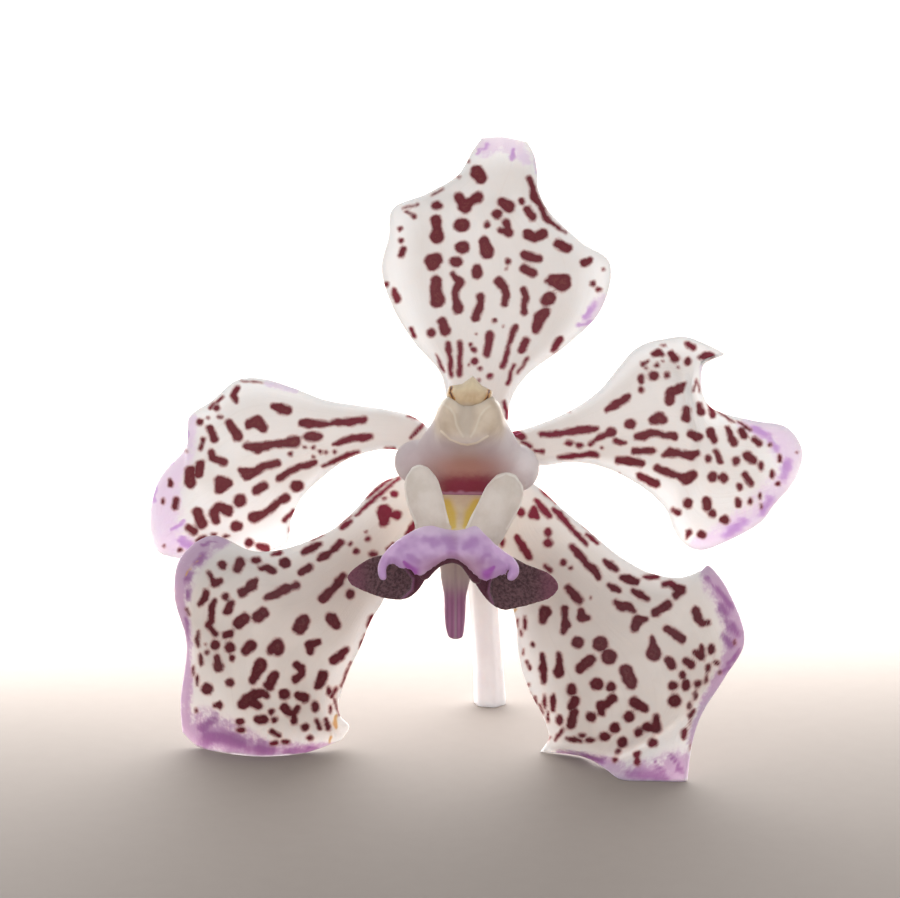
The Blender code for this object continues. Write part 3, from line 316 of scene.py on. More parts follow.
# The dark marks, in pixels of the photograph: three numbers are a dot and its radius, four an
# oval and its half sizes, and more a chain of points, each with its radius
DORSAL_MARKS = [
    (477, 172.5, 7, 481, 178, 6), (459, 197, 5, 461, 201, 5, 465, 206, 7.3, 471, 201, 4, 478, 197, 5.6),
    (437, 205.5, 6, 4), (436, 220, 5.5, 437, 228.5, 4.5, 437, 236.5, 7.5), (461.7, 225, 8, 7),
    (462.4, 247.3, 7.3, 6.5), (432, 261, 7.5, 437, 259, 6), (433, 264, 7), (456, 262, 7, 5.3),
    (484, 240.5, 5, 487, 252, 7), (487, 225, 3.5), (502, 202, 4.5, 509, 207, 6.3), (497, 214, 5),
    (506.5, 223, 4, 508, 229, 3, 509, 233, 4.5, 500, 230, 2.5), (521.4, 201.3, 3.3),
    (527.5, 209.5, 4, 532, 216.5, 4.5),
    (529, 178.5, 2.8, 533, 188, 3, 534.5, 198, 4.2, 541, 206, 2.8, 545, 217, 3.2, 554, 225, 2.2,
     566, 233, 1),
    (527.5, 234, 5, 535, 238, 4.5, 543, 234, 5), (558.5, 244, 5, 567.5, 248.5, 4.5),
    (524, 254.5, 4, 531, 257.5, 5, 538.5, 258.5, 4), (524, 268.5, 4.5, 533, 273, 4.5),
    (477, 271.6, 5.5, 7.5), (508, 261.5, 3.4), (506.5, 269, 0.8), (584, 263, 4, 590, 260, 3),
    (547, 281, 2, 553, 280, 6, 562, 282.5, 9.3), (545, 301, 4.5, 549, 298.5, 7),
    (545.5, 312.5, 5, 539, 319, 6.3, 536, 330, 4), (559.5, 340, 4, 553, 350, 3),
    (526, 341, 4, 521.5, 350, 3.5), (436, 281, 5.5, 436, 291, 6, 437.5, 300, 7.5),
    (453, 274.5, 3, 460, 283, 4.6, 454.5, 293, 3.2, 456, 300, 3.2, 458, 308, 6),
    (480.5, 297, 4.3, 480.5, 303, 3.4, 479, 309, 4.5, 475.5, 317.5, 4.3),
    (498.5, 281, 4.6, 505, 288, 4.2, 506, 296, 3.5, 504.5, 304, 3.5),
    (523.5, 290, 3.5, 526, 297, 3.5, 524, 304, 3, 524, 312, 3.5), (592.7, 283.4, 3), (598.6, 289.5, 3),
    (603, 269, 1.3), (386, 284.6, 3), (394, 290, 2.6, 397, 299, 3.8), (400.3, 228.6, 2.6),
    (401, 240.5, 2.6), (403.5, 249, 3, 401, 255, 3.2),
    (406, 211.5, 1.5, 410, 214, 0.9, 414.5, 216.5, 1.9), (403, 208, 0.5, 418, 204.5, 0.6),
    (442, 321, 4.5, 445.5, 331, 5), (431, 333, 4.4), (411.5, 329, 2, 414, 336, 2.4),
    (448, 344, 2.8, 450, 357, 2.5, 451, 375, 2.3), (460, 343.5, 2.8, 460, 355, 2.3, 459.5, 374, 2.8),
    (471, 344.8, 1.9), (474, 349.5, 3), (476.6, 334, 0.9), (474.7, 361.3, 3.6), (469, 365, 1),
    (480, 368.4, 1.9), (490, 335, 4.2, 488.5, 345, 4, 486.5, 354, 3.5), (494.7, 320.7, 2.4),
    (503, 326.4, 1), (515, 327, 3.2, 511, 338, 2.6, 508.5, 345, 1.9, 507, 354, 2.8, 502.5, 367, 2.5),
    (490, 376, 2.9), (513.5, 365, 1.6, 508, 383.5, 1.7),
    (527, 359, 1.9, 523, 366, 1.2, 518.5, 372, 1.4), (436, 355, 0.8, 442, 367, 1.6, 444, 371, 1.1),
    (459, 177, 1.4, 1), (469, 161, 1.1, 1.4), (432, 195, 0.6, 443, 189, 0.9), (479, 380, 1.5),
    (504, 402, 1.6, 507, 412, 2.6, 507, 418, 1.8),
]
PETAL_LEFT_MARKS = [
    (237, 388.5, 3, 233.5, 395, 3.2, 236, 401, 2.5), (210, 407.5, 1.9, 215, 403, 0.9, 222, 397.5, 1.9),
    (216.5, 408, 3.4), (200, 422, 3.4), (208, 418, 1), (220, 417, 3, 1.5),
    (210, 428, 3.6, 214.5, 439, 4), (203, 439, 2, 200.5, 449, 2), (229, 423, 3.6, 238, 436.5, 5.3),
    (249, 424.5, 4.4, 257, 421.5, 6, 263, 428, 5), (273, 406, 2.5, 281, 408.5, 5.4, 287, 410.5, 5),
    (247, 446, 4, 258, 448, 5.5, 272, 444.5, 4.2, 283, 443.5, 4, 295, 441.5, 6),
    (211, 452, 3, 213, 458, 4, 224, 462.5, 4), (200.5, 464, 4.3, 198.5, 474, 4.3),
    (190, 471, 5.4, 190.5, 483, 5.6),
    (240, 469.5, 2.5, 247, 474, 6.3, 256, 471.5, 3.8, 263, 466.5, 4, 277, 463, 4),
    (219, 480, 4.5, 228.5, 483, 4.5, 219, 490, 4.5, 219, 480, 4.5), (256, 490.5, 4.5, 264, 486, 4.5),
    (279, 478.5, 3.5, 289, 472, 3.2, 300, 466.5, 3, 308, 465, 3.6, 315, 462.5, 3), (297, 486, 6.8, 5.8),
    (240, 500.5, 6.6), (216, 521, 4, 213.5, 514, 4.5, 219, 506, 4.6, 228, 511, 5.4),
    (197, 512, 5, 202, 524, 5.4),
    (254, 517.5, 5.8, 264, 514, 3.6, 273, 507, 4, 279, 501.5, 3.2, 286, 498, 4.4),
    (236.5, 526, 6.2, 5.3), (189, 528, 3.6, 194, 531.5, 3.8), (176, 500, 3.4, 175, 507, 3.2),
    (170, 480, 1.8, 170.5, 484, 3), (163, 501, 1.8, 2.8), (186, 451, 1.4),
    (197, 541, 1.4, 204, 536.5, 1.8), (214, 534, 2.6, 1.5), (226, 536, 3, 1.7), (249, 542.5, 4.6),
    (259, 546, 3.4, 267, 549, 3.4), (285, 520, 2.8, 293, 511, 2), (289, 531, 1.1, 292, 524, 1.2),
    (164, 546, 1.3), (180, 550, 1.9),
    (302, 423, 3.5, 310, 423.5, 4.5, 321, 424, 3.2, 328, 424, 2, 335, 422.5, 3, 350, 422, 4.2,
     364, 420, 3.5),
    (313, 436.5, 10, 4.8),
    (334, 444.5, 2, 342, 441.5, 3.2, 352, 438, 3.2, 362, 438, 4, 370, 436.5, 3.2),
    (323, 466.5, 1.2, 334, 461.5, 2.6, 348, 455, 2.6, 358, 452, 2), (290.4, 454, 2.2),
    (305, 447, 1.8, 1), (313.6, 447.4, 1.9), (313.6, 456.6, 1.2), (320, 452, 1.9), (326, 452.4, 1.5),
    (335, 452, 1.7), (425, 422, 2.4, 411, 438, 1.4), (386, 448.3, 1.4, 394, 448.8, 1.6),
    (408, 416.5, 1.2, 419, 419.5, 1.1), (241, 380.5, 0.6, 262, 382.5, 0.6),
]
PETAL_RIGHT_MARKS = [
    (541, 434.5, 2.5, 552, 434.5, 3, 565, 432.5, 3, 577, 430.5, 4, 588, 429.5, 4, 597, 428.5, 2.2),
    (514, 433, 4, 523, 437, 3.3), (523, 442, 1.4, 531, 446.5, 2), (535, 450.5, 1.6, 543, 452, 1.9),
    (569, 443, 4.4, 2.5), (579.6, 445.4, 3.6, 2.8),
    (590, 444, 2.3, 594, 441, 1.8, 600, 437, 3.2, 606, 434.5, 2.5, 611.5, 432, 4.8), (602, 448, 1.2),
    (615.5, 441, 2.5, 620, 442.5, 2.5, 625, 443, 2),
    (559, 457.5, 1.8, 568, 456.5, 2.8, 580, 455.5, 2.5, 590, 454, 3.2, 597, 455, 2.5),
    (607, 410, 2.6, 613, 406, 4.2, 622, 401, 4.5, 628.5, 396.5, 3.2), (630.4, 424, 6.3, 5),
    (641, 379, 3, 5), (653.6, 376, 5), (667, 375, 2.8, 3.4), (641, 390, 3.2),
    (643, 364, 2.3, 648, 361, 1.1), (646, 368, 1.4), (657, 365, 2.4), (663, 361, 1.1),
    (678, 367.4, 1.1), (654, 354, 3, 659, 352.5, 3, 663, 354.5, 1.2), (663, 345, 2.6, 0.9),
    (671, 353.5, 3.5, 675, 358.5, 4.3), (687.5, 361.5, 3.4, 4.3), (687.5, 344, 2.9, 693, 347.5, 3.1),
    (700.5, 357, 2.5, 706, 355.5, 3.8, 712, 355.5, 2.6),
    (685, 383, 1.5, 679.5, 388.5, 4.6, 671, 392.5, 5.4, 669.5, 401, 4.8),
    (697, 380, 0.8, 693, 391, 0.8), (697, 380, 0.8, 700, 392, 0.8),
    (652.5, 420.5, 3.8, 659, 418, 6.3, 662, 420, 5), (686.5, 410, 4.3, 686, 418, 4.4),
    (699, 404.5, 2.5, 701, 412, 4), (709, 405, 1.5, 713, 415, 3.1), (719, 412, 1.1, 733, 422, 1.1),
    (738, 421.5, 1, 750, 430, 1.6),
    (637, 436.5, 3.5, 643, 436, 4.5, 652, 432.5, 3.5, 662, 434.5, 3.1, 674, 436.5, 4.2),
    (690, 434, 3.6, 696, 436.5, 4.8, 699, 437, 4), (710.5, 432, 4.4, 714, 440, 3.6),
    (727.5, 428, 2.3, 731, 437, 3, 734, 443, 4), (741.5, 430.5, 3.4, 744, 436, 3.6),
    (754.5, 439.5, 3, 759, 443.5, 3.4), (770, 445, 2), (634, 451, 3.4, 643, 451, 3.2, 653, 450.5, 3.1),
    (664, 455, 2.5, 671, 452, 5, 680.5, 454, 3.5, 691, 456, 4.8, 697, 453.5, 3.3), (708, 459, 3.3, 4.4),
    (716, 451.5, 2.8, 720, 461, 3.1), (736, 461, 4.2, 5), (747, 455.5, 4.6, 753, 460, 4.4),
    (761, 466, 2.8, 4.8), (779.4, 458, 2.2, 4.2), (772, 474, 2.4, 4.8), (778, 484, 2.4),
    (797, 452, 1.2), (618, 460.5, 3.6, 630, 461, 4.2, 642, 463.5, 3.4),
    (657, 468, 3.5, 667, 472, 4, 677, 475.5, 3, 686, 479, 5.8, 693, 475, 4.6),
    (640, 476, 3.8, 656, 484, 4.2), (712.5, 477, 5, 5.4), (724, 478, 4.4, 5.3), (718.5, 477.5, 2),
    (744.5, 474.5, 3.2, 751, 483.5, 3.2), (739.6, 487, 3, 4.2), (688, 503.4, 5),
    (673, 510, 2.4, 678.5, 513, 3), (707, 502, 5, 707, 507, 4.5), (712.4, 513.4, 4),
    (738, 503, 3.4, 4.9), (750.4, 501.4, 2.3, 3.8), (760, 496, 1.6, 3.2), (761, 506, 1.2, 2.4),
    (724.6, 519.6, 4.9, 4.2), (689, 532, 3, 687, 538, 1.2), (701.6, 534.6, 4.8, 3.8),
    (619, 475, 1, 2.6), (569, 411.6, 1.6, 0.7),
]
LATERAL_LEFT_MARKS = [
    (222.4, 565, 4.8), (240, 562.5, 5.5, 237.5, 569, 4.5), (256, 560.4, 5.8, 3.3), (285, 563, 5.8, 5.4),
    (260, 568.5, 2.3, 267, 568, 3.8, 273, 571, 3.8), (272, 555, 1.8, 280, 552.5, 2.2),
    (208.5, 573, 2.8, 212, 578.5, 2.8, 215, 583, 5, 221, 581, 2.5),
    (256, 580, 2.8, 252, 585, 5.8, 247, 590, 4.2, 242, 592.5, 4.8),
    (266.5, 598, 3, 276, 594, 4.6, 286, 588.5, 4.6, 291, 587, 3, 296, 585.5, 4.4),
    (206, 592, 3, 205, 598, 4, 200, 604.5, 2.5), (225.6, 596.6, 4), (230.5, 604, 4.3, 227.5, 611, 4.8),
    (214.5, 600.5, 2.5, 211.5, 609, 3.8, 211.5, 620, 3, 208, 625, 3.2, 212, 630, 2.5, 215.5, 634, 3),
    (239, 623, 6, 244.5, 618.5, 6), (258, 617, 6, 263, 613, 6), (186.5, 608.5, 1.2, 189, 614.5, 1.2),
    (225.5, 635.5, 3.4, 230, 633.5, 4), (198.5, 632, 1.5, 197, 640, 2.6, 198, 646, 1.5), (215, 645, 5),
    (205.6, 644.4, 1), (230, 647.4, 5.4), (245.5, 651, 4.8, 250.5, 645.5, 6),
    (271, 650.5, 4.5, 277.5, 645, 6.5, 278, 650, 6), (207, 652.6, 2.5), (232, 658, 3.2),
    (216.5, 657, 3, 218.5, 667, 5.4), (200.5, 655, 1.8, 201, 663, 2.9), (193.5, 671, 1.2, 5),
    (197, 680, 1.6, 5.5), (207, 689, 5.8, 6.3), (230, 682.4, 4.4),
    (260.5, 665, 7, 257, 672, 5, 253, 680, 4.5), (274, 675.5, 4.8, 269, 685.5, 5.7),
    (243, 704, 5.5, 248, 700, 6.5, 255, 694.5, 5.5, 262, 693, 4.2, 267, 696, 3.2),
    (250, 701, 5, 258, 705.5, 4), (284.4, 694.4, 5.8, 5.2), (298, 695.5, 4, 304.5, 698, 5),
    (215, 705.5, 2.5, 219.5, 705.5, 4), (196, 710.5, 1.3, 2.3), (240, 721.4, 4.9, 3.4),
    (241, 730, 4.8, 2.7), (261, 719.6, 7.4, 4.7), (271.6, 711.6, 3.2), (274.4, 719.6, 3.3),
    (272, 731.5, 2.3, 279, 735.5, 2), (274, 743.2, 4.3, 2.2), (286, 741.6, 4.6, 2),
    (356, 515.6, 0.9, 366, 506, 2, 380, 494, 2, 399, 478, 1.5),
    (367, 498, 0.9, 378, 488.5, 1.7, 390, 479, 1.1), (384.5, 512.5, 8, 384, 522, 5),
    (390, 514.5, 3, 397.5, 515, 4.5), (394, 494, 4, 3.4), (384.4, 498.6, 1.6),
    (414, 524, 3.5, 407, 535, 2), (342, 527.5, 2.8, 350, 521.5, 2.4), (341, 523, 0.6, 352, 516, 0.6),
    (312, 540, 0.7, 323, 535, 0.9), (303.5, 552.5, 2.8, 312, 548, 4.2, 320, 544, 2.8),
    (319.5, 558.5, 3.2, 327, 554.5, 4.2, 330.5, 552, 2.2, 334.5, 548.5, 3.6, 341, 542.5, 3.4),
    (301.5, 572.5, 3.8, 309.5, 567, 3.8), (368, 539, 2.9), (366, 531.6, 1.3), (356, 551, 3.2),
    (350.4, 544, 2), (373, 554, 4.5, 3), (388, 549, 2, 393, 545, 2.4),
    (343, 576, 3.5, 339, 582, 5, 334, 588, 3.5, 329, 592.5, 4.5, 323, 598.5, 5), (350, 594, 4.8, 5),
    (303.5, 620.5, 6.5, 300, 627.5, 7, 294.5, 629.5, 3), (331, 618, 5.8, 336, 624.5, 5),
    (309, 645, 4.5, 318, 642, 3.5), (310, 646, 5, 310.5, 651.5, 4),
    (334, 660, 4.8, 341, 655, 4.6, 346, 650, 3.2), (371.5, 617, 2.6, 369, 625, 2.6),
    (365.5, 635, 1.4, 362, 643, 1.8, 360, 648, 1), (350.5, 663, 0.8, 346, 674, 1.2, 341, 686, 1.1),
    (296, 664.5, 3.8, 301, 668, 4.5, 301.5, 674, 3.8, 296, 679, 4.5),
    (323, 675.5, 5.5, 321, 681, 5, 317.5, 686.5, 3.5), (329, 691, 2.8, 4.6),
    (336, 689, 1.6, 332, 697, 1.9), (315, 706.4, 4.1, 5.8), (330.4, 709, 1.8, 4),
    (334.5, 699, 1.1, 337, 707, 1.1, 339, 715, 0.7),
    (284.5, 707.5, 4.8, 288.5, 712, 4.5, 293.5, 714, 3.5, 297.5, 708, 3),
    (293.5, 714, 3, 294, 721.5, 3.4), (305, 727, 4, 3.7), (316.5, 720.5, 1.9, 320, 728, 2.1),
    (325.5, 719.5, 1.9, 328, 727.5, 2.9), (310, 738, 3.1, 2.4),
]
LATERAL_RIGHT_MARKS = [
    (502, 542, 3, 5), (521, 512, 4.4), (534, 508.5, 3, 531, 515.5, 3, 537, 517, 2.8, 534, 508.5, 3),
    (536, 500.5, 2, 543, 508.5, 4, 549, 516, 2.8), (540.5, 489.5, 0.8, 548, 496, 1.7, 555.5, 503, 0.8),
    (553.5, 509, 2, 560, 515, 3.5, 568, 524, 3, 574, 532, 2.2, 582, 539, 2.8, 586.5, 544.5, 2),
    (586.5, 534, 1.4, 592, 538.5, 2.5, 598, 543.5, 1.4), (578, 518, 0.5, 588, 530, 0.6),
    (548, 532.4, 3.7, 4.4), (548, 543, 4.9, 4.7), (517, 537.5, 3.2, 523, 547, 4, 529, 556.5, 3.5),
    (545, 566, 2, 551, 571, 2), (563, 563, 3.4), (571, 568, 1.9),
    (571.5, 546.5, 3, 580, 555, 4, 587.5, 565, 3.2, 594, 570, 4.5, 598.5, 577, 3.5),
    (604.5, 561, 2.2, 610.5, 565.5, 4, 616.5, 569.5, 2.7),
    (622, 577.5, 3, 629, 579.5, 4.6, 636, 581.5, 3.6),
    (609.5, 585.5, 2.7, 614, 588, 3.7, 618.5, 590.5, 2.9),
    (615, 602, 2.5, 621, 606, 5, 628, 606, 4.5, 634, 611, 2.4),
    (568.5, 588, 4, 574, 595, 5, 579.5, 600.5, 4), (591, 598, 1), (545, 612, 6.5, 543, 620.5, 4),
    (564.5, 609, 4, 565, 617.5, 3, 566, 624.5, 5, 563.5, 631, 3.4),
    (581, 611.5, 3.5, 582, 617, 5.8, 588, 617.5, 2.9), (577.6, 642.4, 6.4, 6), (600.4, 644, 7.8),
    (609, 657, 8), (580, 668.5, 5.2, 590.5, 659.5, 5.5), (542.5, 655, 2.5, 543, 668, 4, 544, 682, 2.4),
    (559, 654.5, 2.8, 559.5, 664, 3.6, 559, 672.5, 5.5), (626, 671, 7, 631, 683, 6.4),
    (597, 684, 6.9, 6.4), (611, 687, 5), (571.6, 689.6, 5.4, 6.4), (571.5, 706, 4.4, 575.5, 700.5, 4.8),
    (574, 713, 4.4, 571, 725, 4.7), (602, 713, 3.5, 600.5, 706, 4.8, 607, 703.5, 4.2, 613, 698.5, 4.5),
    (591, 717, 5.4, 4.9), (615, 728, 5.4), (605, 736.4, 5.8, 4.9), (622.6, 742, 5.3),
    (582, 735.4, 3.8, 2.7), (590, 740, 5.3, 2.5), (567, 738.5, 1.4, 574, 739.5, 2.9, 581.5, 741.5, 1.4),
    (618, 751.4, 2.9, 2.5), (615.4, 759.6, 2.8), (553, 703, 2.8, 9.3), (544.6, 702, 1.8, 6.8),
    (535, 697, 1.5, 536, 704, 1.4), (540, 705, 1.1, 542.5, 713, 1.2), (548, 717, 1.3, 5.6),
    (559.4, 720, 3.4, 5.4), (562.5, 730, 2.1, 555, 740, 1.1), (550, 737.5, 0.7, 546, 742, 0.7),
    (525, 623, 1.8, 6.3), (518, 623, 0.8, 3.6), (521, 633, 1.1, 2.8), (532.6, 644.4, 1.9, 2.4),
    (523, 652, 1.2, 2.8), (526.5, 661, 1.4, 530, 669, 1.4), (529, 685, 1.5), (529.6, 693, 0.8),
    (651, 577, 8.8, 2.5), (633, 591, 2.5, 640.5, 595, 4.4, 647.5, 599, 2.7),
    (663.5, 584.5, 2.6, 670, 583.5, 3.4, 676, 587, 4, 680.5, 590, 5.4, 676.5, 595, 4),
    (655.5, 612.5, 4.4, 668, 604.5, 4.6),
    (695.5, 611, 4.8, 698, 618, 4.5, 702, 624, 3.5, 708.5, 623, 3),
    (635, 627.5, 5, 638, 620, 5, 646, 619.5, 2.7), (666.5, 628.5, 3.8, 675, 634, 4.4, 682, 639.5, 4.4),
    (651.5, 637, 2.2, 653, 644, 3.8, 653.5, 653, 8), (668.5, 660, 4.2, 672, 666, 4.4),
    (686.5, 661.5, 4, 691.5, 665, 4), (694.5, 652, 2.5, 701, 656, 4.5, 701.5, 647, 2.5),
    (711.4, 649, 3.9, 5.8), (716.4, 662.6, 3.3, 2.7), (708, 667.6, 2.7, 4.3), (720, 672.6, 1.7, 2.4),
    (734.5, 642.5, 1.6, 2.6), (682.6, 675, 3.4, 3.9), (686, 685, 4.4, 5.8), (673, 686, 5),
    (698, 683.6, 4, 3.6), (706.6, 679.4, 2, 4.2), (695, 695, 2.3, 4.7), (689.4, 706, 2.2, 3.9),
    (690, 715.5, 2.8, 694, 710, 1.7), (690, 723.6, 0.9, 2.6), (674.6, 701, 6.9),
    (633.5, 701.5, 5, 640, 706, 5.2, 645.5, 708.5, 3.7), (629, 716.6, 5.9, 5.7),
    (638.4, 732.4, 4.9, 4.7), (646.5, 726.5, 4.5, 653, 728.5, 4, 658, 729.5, 3.5),
    (657.5, 728, 4, 656, 716, 3), (653, 743, 4.9, 4.7), (684, 733.6, 3.4, 5.8),
    (637, 754.5, 3.8, 637.2, 758.5, 2, 637.3, 762.5, 3.7), (690, 746, 0.8, 3.4),
]

# The lilac flushes, as chains of points in pixels of the photograph, each with its reach, the
# deeper strokes in them, and the ochre bruises
DORSAL_LILAC = [
    (484, 148, 11, 497, 140, 12, 518, 146, 11, 526, 160, 7), (602, 302, 10, 588, 326, 12),
    (534, 148, 3, 537, 172, 3),
]
DORSAL_STROKES = [
    (476, 153, 2.5, 487, 145, 3), (512, 158, 3, 514, 150, 3), (586, 317, 3, 594, 305, 3.5),
    (580, 325, 3, 592, 322, 2),
]
PETAL_LEFT_LILAC = [
    (190, 420, 9, 183, 445, 14, 168, 478, 20, 156, 515, 26, 170, 548, 26), (266, 383, 4, 295, 390, 4),
]
PETAL_LEFT_STROKES = [
    (172, 530, 3, 184, 521, 2.5), (180, 540, 5, 191, 545, 6),
    (189, 432, 1.5, 183, 448, 1.6, 171, 463, 2), (157, 482, 2, 154, 500, 2),
]
PETAL_RIGHT_LILAC = [
    (745, 423, 9, 775, 432, 18, 795, 450, 22, 796, 478, 22, 768, 514, 26, 735, 536, 22, 698, 546, 10),
    (701, 366, 2.5, 703, 388, 2.5),
]
PETAL_RIGHT_STROKES = [
    (754, 428, 4, 768, 436, 4, 776, 448, 4), (788, 462, 5, 784, 478, 5), (770, 500, 6, 762, 512, 5),
    (744, 522, 6, 726, 536, 5),
]
# On the lateral sepals the flushes and strokes along the bottoms are lilac deepened by painted shade, where
# the bottoms curl away.
LATERAL_LEFT_LILAC = [
    (226, 538, 9, 205, 541, 16, 186, 560, 18, 177, 584, 16, 180, 604, 8, 187, 640, 7, 184, 700, 9),
    (184, 712, 9, 186, 734, 14, 204, 732, 25, 236, 746, 22, 270, 756, 15, 335, 748, 6),
]
LATERAL_LEFT_STROKES = [
    (216, 541, 1.5, 203, 545, 2), (203, 556, 4, 197, 563, 4.5), (192, 573, 5, 187, 579, 4.5),
    (188, 592, 3, 189, 600, 3), (186, 620, 2.5, 188, 640, 2.5), (202, 728, 6, 216, 718, 5),
    (206, 738, 9, 224, 738, 9, 246, 746, 9), (256, 748, 7, 272, 752, 6), (285, 753, 4, 315, 749, 3),
]
LATERAL_RIGHT_LILAC = [
    (706, 568, 10, 718, 584, 16, 734, 610, 16, 742, 640, 18, 726, 668, 10, 706, 700, 6, 692, 740, 6),
    (560, 754, 5, 592, 760, 8, 625, 776, 15, 655, 779, 22, 680, 772, 24, 690, 766, 14),
]
LATERAL_RIGHT_STROKES = [
    (706, 578, 2.5, 720, 592, 3, 731, 606, 2.5), (721, 608, 6, 728, 622, 6, 737, 632, 5),
    (724, 637, 4, 732, 645, 4), (740, 650, 3, 724, 672, 2.5), (628, 774, 5, 645, 776, 7, 666, 778, 6),
    (655, 762, 3, 664, 776, 4), (672, 756, 2.5, 682, 772, 3), (584, 755, 3, 602, 762, 4),
]
LATERAL_LEFT_OCHRE = [
    (336, 716, 2.2, 335, 727, 2.6), (331, 736, 2, 330, 742, 1.6),
    (184, 577, 0.8, 193, 565, 1, 202, 555, 0.7),
]
LATERAL_RIGHT_OCHRE = [(516, 610, 1.6)]

BLADES = {
    "dorsal_sepal": (DORSAL_SEPAL, DORSAL_MARKS, DORSAL_LILAC, DORSAL_STROKES, []),
    "petal_left": (PETAL_LEFT, PETAL_LEFT_MARKS, PETAL_LEFT_LILAC, PETAL_LEFT_STROKES, []),
    "petal_right": (PETAL_RIGHT, PETAL_RIGHT_MARKS, PETAL_RIGHT_LILAC, PETAL_RIGHT_STROKES, []),
    "lateral_sepal_left": (
        LATERAL_SEPAL_LEFT, LATERAL_LEFT_MARKS, LATERAL_LEFT_LILAC, LATERAL_LEFT_STROKES,
        LATERAL_LEFT_OCHRE,
    ),
    "lateral_sepal_right": (
        LATERAL_SEPAL_RIGHT, LATERAL_RIGHT_MARKS, LATERAL_RIGHT_LILAC, LATERAL_RIGHT_STROKES,
        LATERAL_RIGHT_OCHRE,
    ),
}

MAROON_EDGE = (0.36, 0.11, 0.09)
MARGIN_CRIMSON = (0.30, 0.02, 0.06)
OCHRE = (0.62, 0.40, 0.16)
# The lower blades' tones are darker than the upper ones': painted shade, as the upper blades are lit through
# from behind and the lower ones less. In both sets the margin tone is painted light, a glow at the thin
# margins; the claw tone is painted shade on the upper blades and painted light on the lower ones; and the
# tone for the middle of a blade is painted shade.
UPPER = {
    "white": (0.80, 0.80, 0.80), "shade": (0.68, 0.66, 0.64), "margin": (0.97, 0.97, 0.975),
    "claw": (0.66, 0.635, 0.615), "dusk": (0.75, 0.735, 0.725), "crimson": (0.24, 0.02, 0.05),
    "maroon": (0.185, 0.026, 0.037), "maroon_light": (0.225, 0.042, 0.053),
    "faded": (0.27, 0.085, 0.07), "lilac": (0.76, 0.65, 0.81), "lilac_deep": (0.56, 0.36, 0.66),
}
LOWER = {
    "white": (0.66, 0.648, 0.633), "shade": (0.56, 0.535, 0.515), "margin": (0.76, 0.75, 0.745),
    "claw": (0.88, 0.865, 0.845), "dusk": (0.51, 0.475, 0.45), "crimson": (0.36, 0.03, 0.075),
    "maroon": (0.115, 0.014, 0.022), "maroon_light": (0.175, 0.026, 0.038),
    "faded": (0.21, 0.08, 0.075), "lilac": (0.465, 0.30, 0.48), "lilac_deep": (0.32, 0.13, 0.34),
}
# The backs are a little duller than the faces: the lower blades' tones, darker still, as painted shade
# against the strong light from behind.
BACKS = {key: tuple(0.85 * part for part in tone) for key, tone in LOWER.items()}


# Layout

def place(points):
    """World metres of points laid out in millimetres, as an array."""
    points = np.asarray(points, float)
    spread = 1.0 + points[:, 2:3] * MM / LAYOUT_DISTANCE
    offset = (
        points[:, 0:1] * spread * np.array(RIGHT)
        + points[:, 1:2] * spread * np.array(UP)
        + points[:, 2:3] * np.array(BACK)
    )
    return np.array(FACE_MIDDLE) + offset * MM


def seen(world):
    """The layout, in millimetres, of points in world metres."""
    offset = (np.asarray(world, float) - np.array(FACE_MIDDLE)) / MM
    depth = offset @ np.array(BACK)
    spread = 1.0 + depth * MM / LAYOUT_DISTANCE
    return np.stack([offset @ np.array(RIGHT) / spread, offset @ np.array(UP) / spread, depth], 1)


def spacing(points):
    """Knots for a curve through the points, closer together where the points are."""
    lengths = np.linalg.norm(np.diff(np.asarray(points, float), axis=0), axis=1)
    return np.concatenate([[0.0], np.cumsum(np.sqrt(lengths))])


def smooth_through(points, knots, at):
    """Values at the given places of a smooth curve that passes through all the points."""
    points = np.asarray(points, float)
    gaps = np.diff(knots)
    steps = np.diff(points, axis=0) / gaps[:, None]
    slopes = np.empty_like(points)
    slopes[1:-1] = (steps[:-1] * gaps[1:, None] + steps[1:] * gaps[:-1, None]) / (
        gaps[1:] + gaps[:-1]
    )[:, None]
    slopes[0] = 1.5 * steps[0] - 0.5 * slopes[1]
    slopes[-1] = 1.5 * steps[-1] - 0.5 * slopes[-2]
    k = np.clip(np.searchsorted(knots, at, side="right") - 1, 0, len(gaps) - 1)
    t = ((at - knots[k]) / gaps[k])[:, None]
    g = gaps[k][:, None]
    return (
        points[k] * (2 * t**3 - 3 * t**2 + 1)
        + slopes[k] * g * (t**3 - 2 * t**2 + t)
        + points[k + 1] * (3 * t**2 - 2 * t**3)
        + slopes[k + 1] * g * (t**3 - t**2)
    )


def drawn_through(points, count):
    """A smooth curve through points whose first three numbers are a place, in even steps."""
    points = np.array(points, float)
    knots = spacing(points[:, :3])
    return smooth_through(points, knots, np.linspace(0, knots[-1], count))


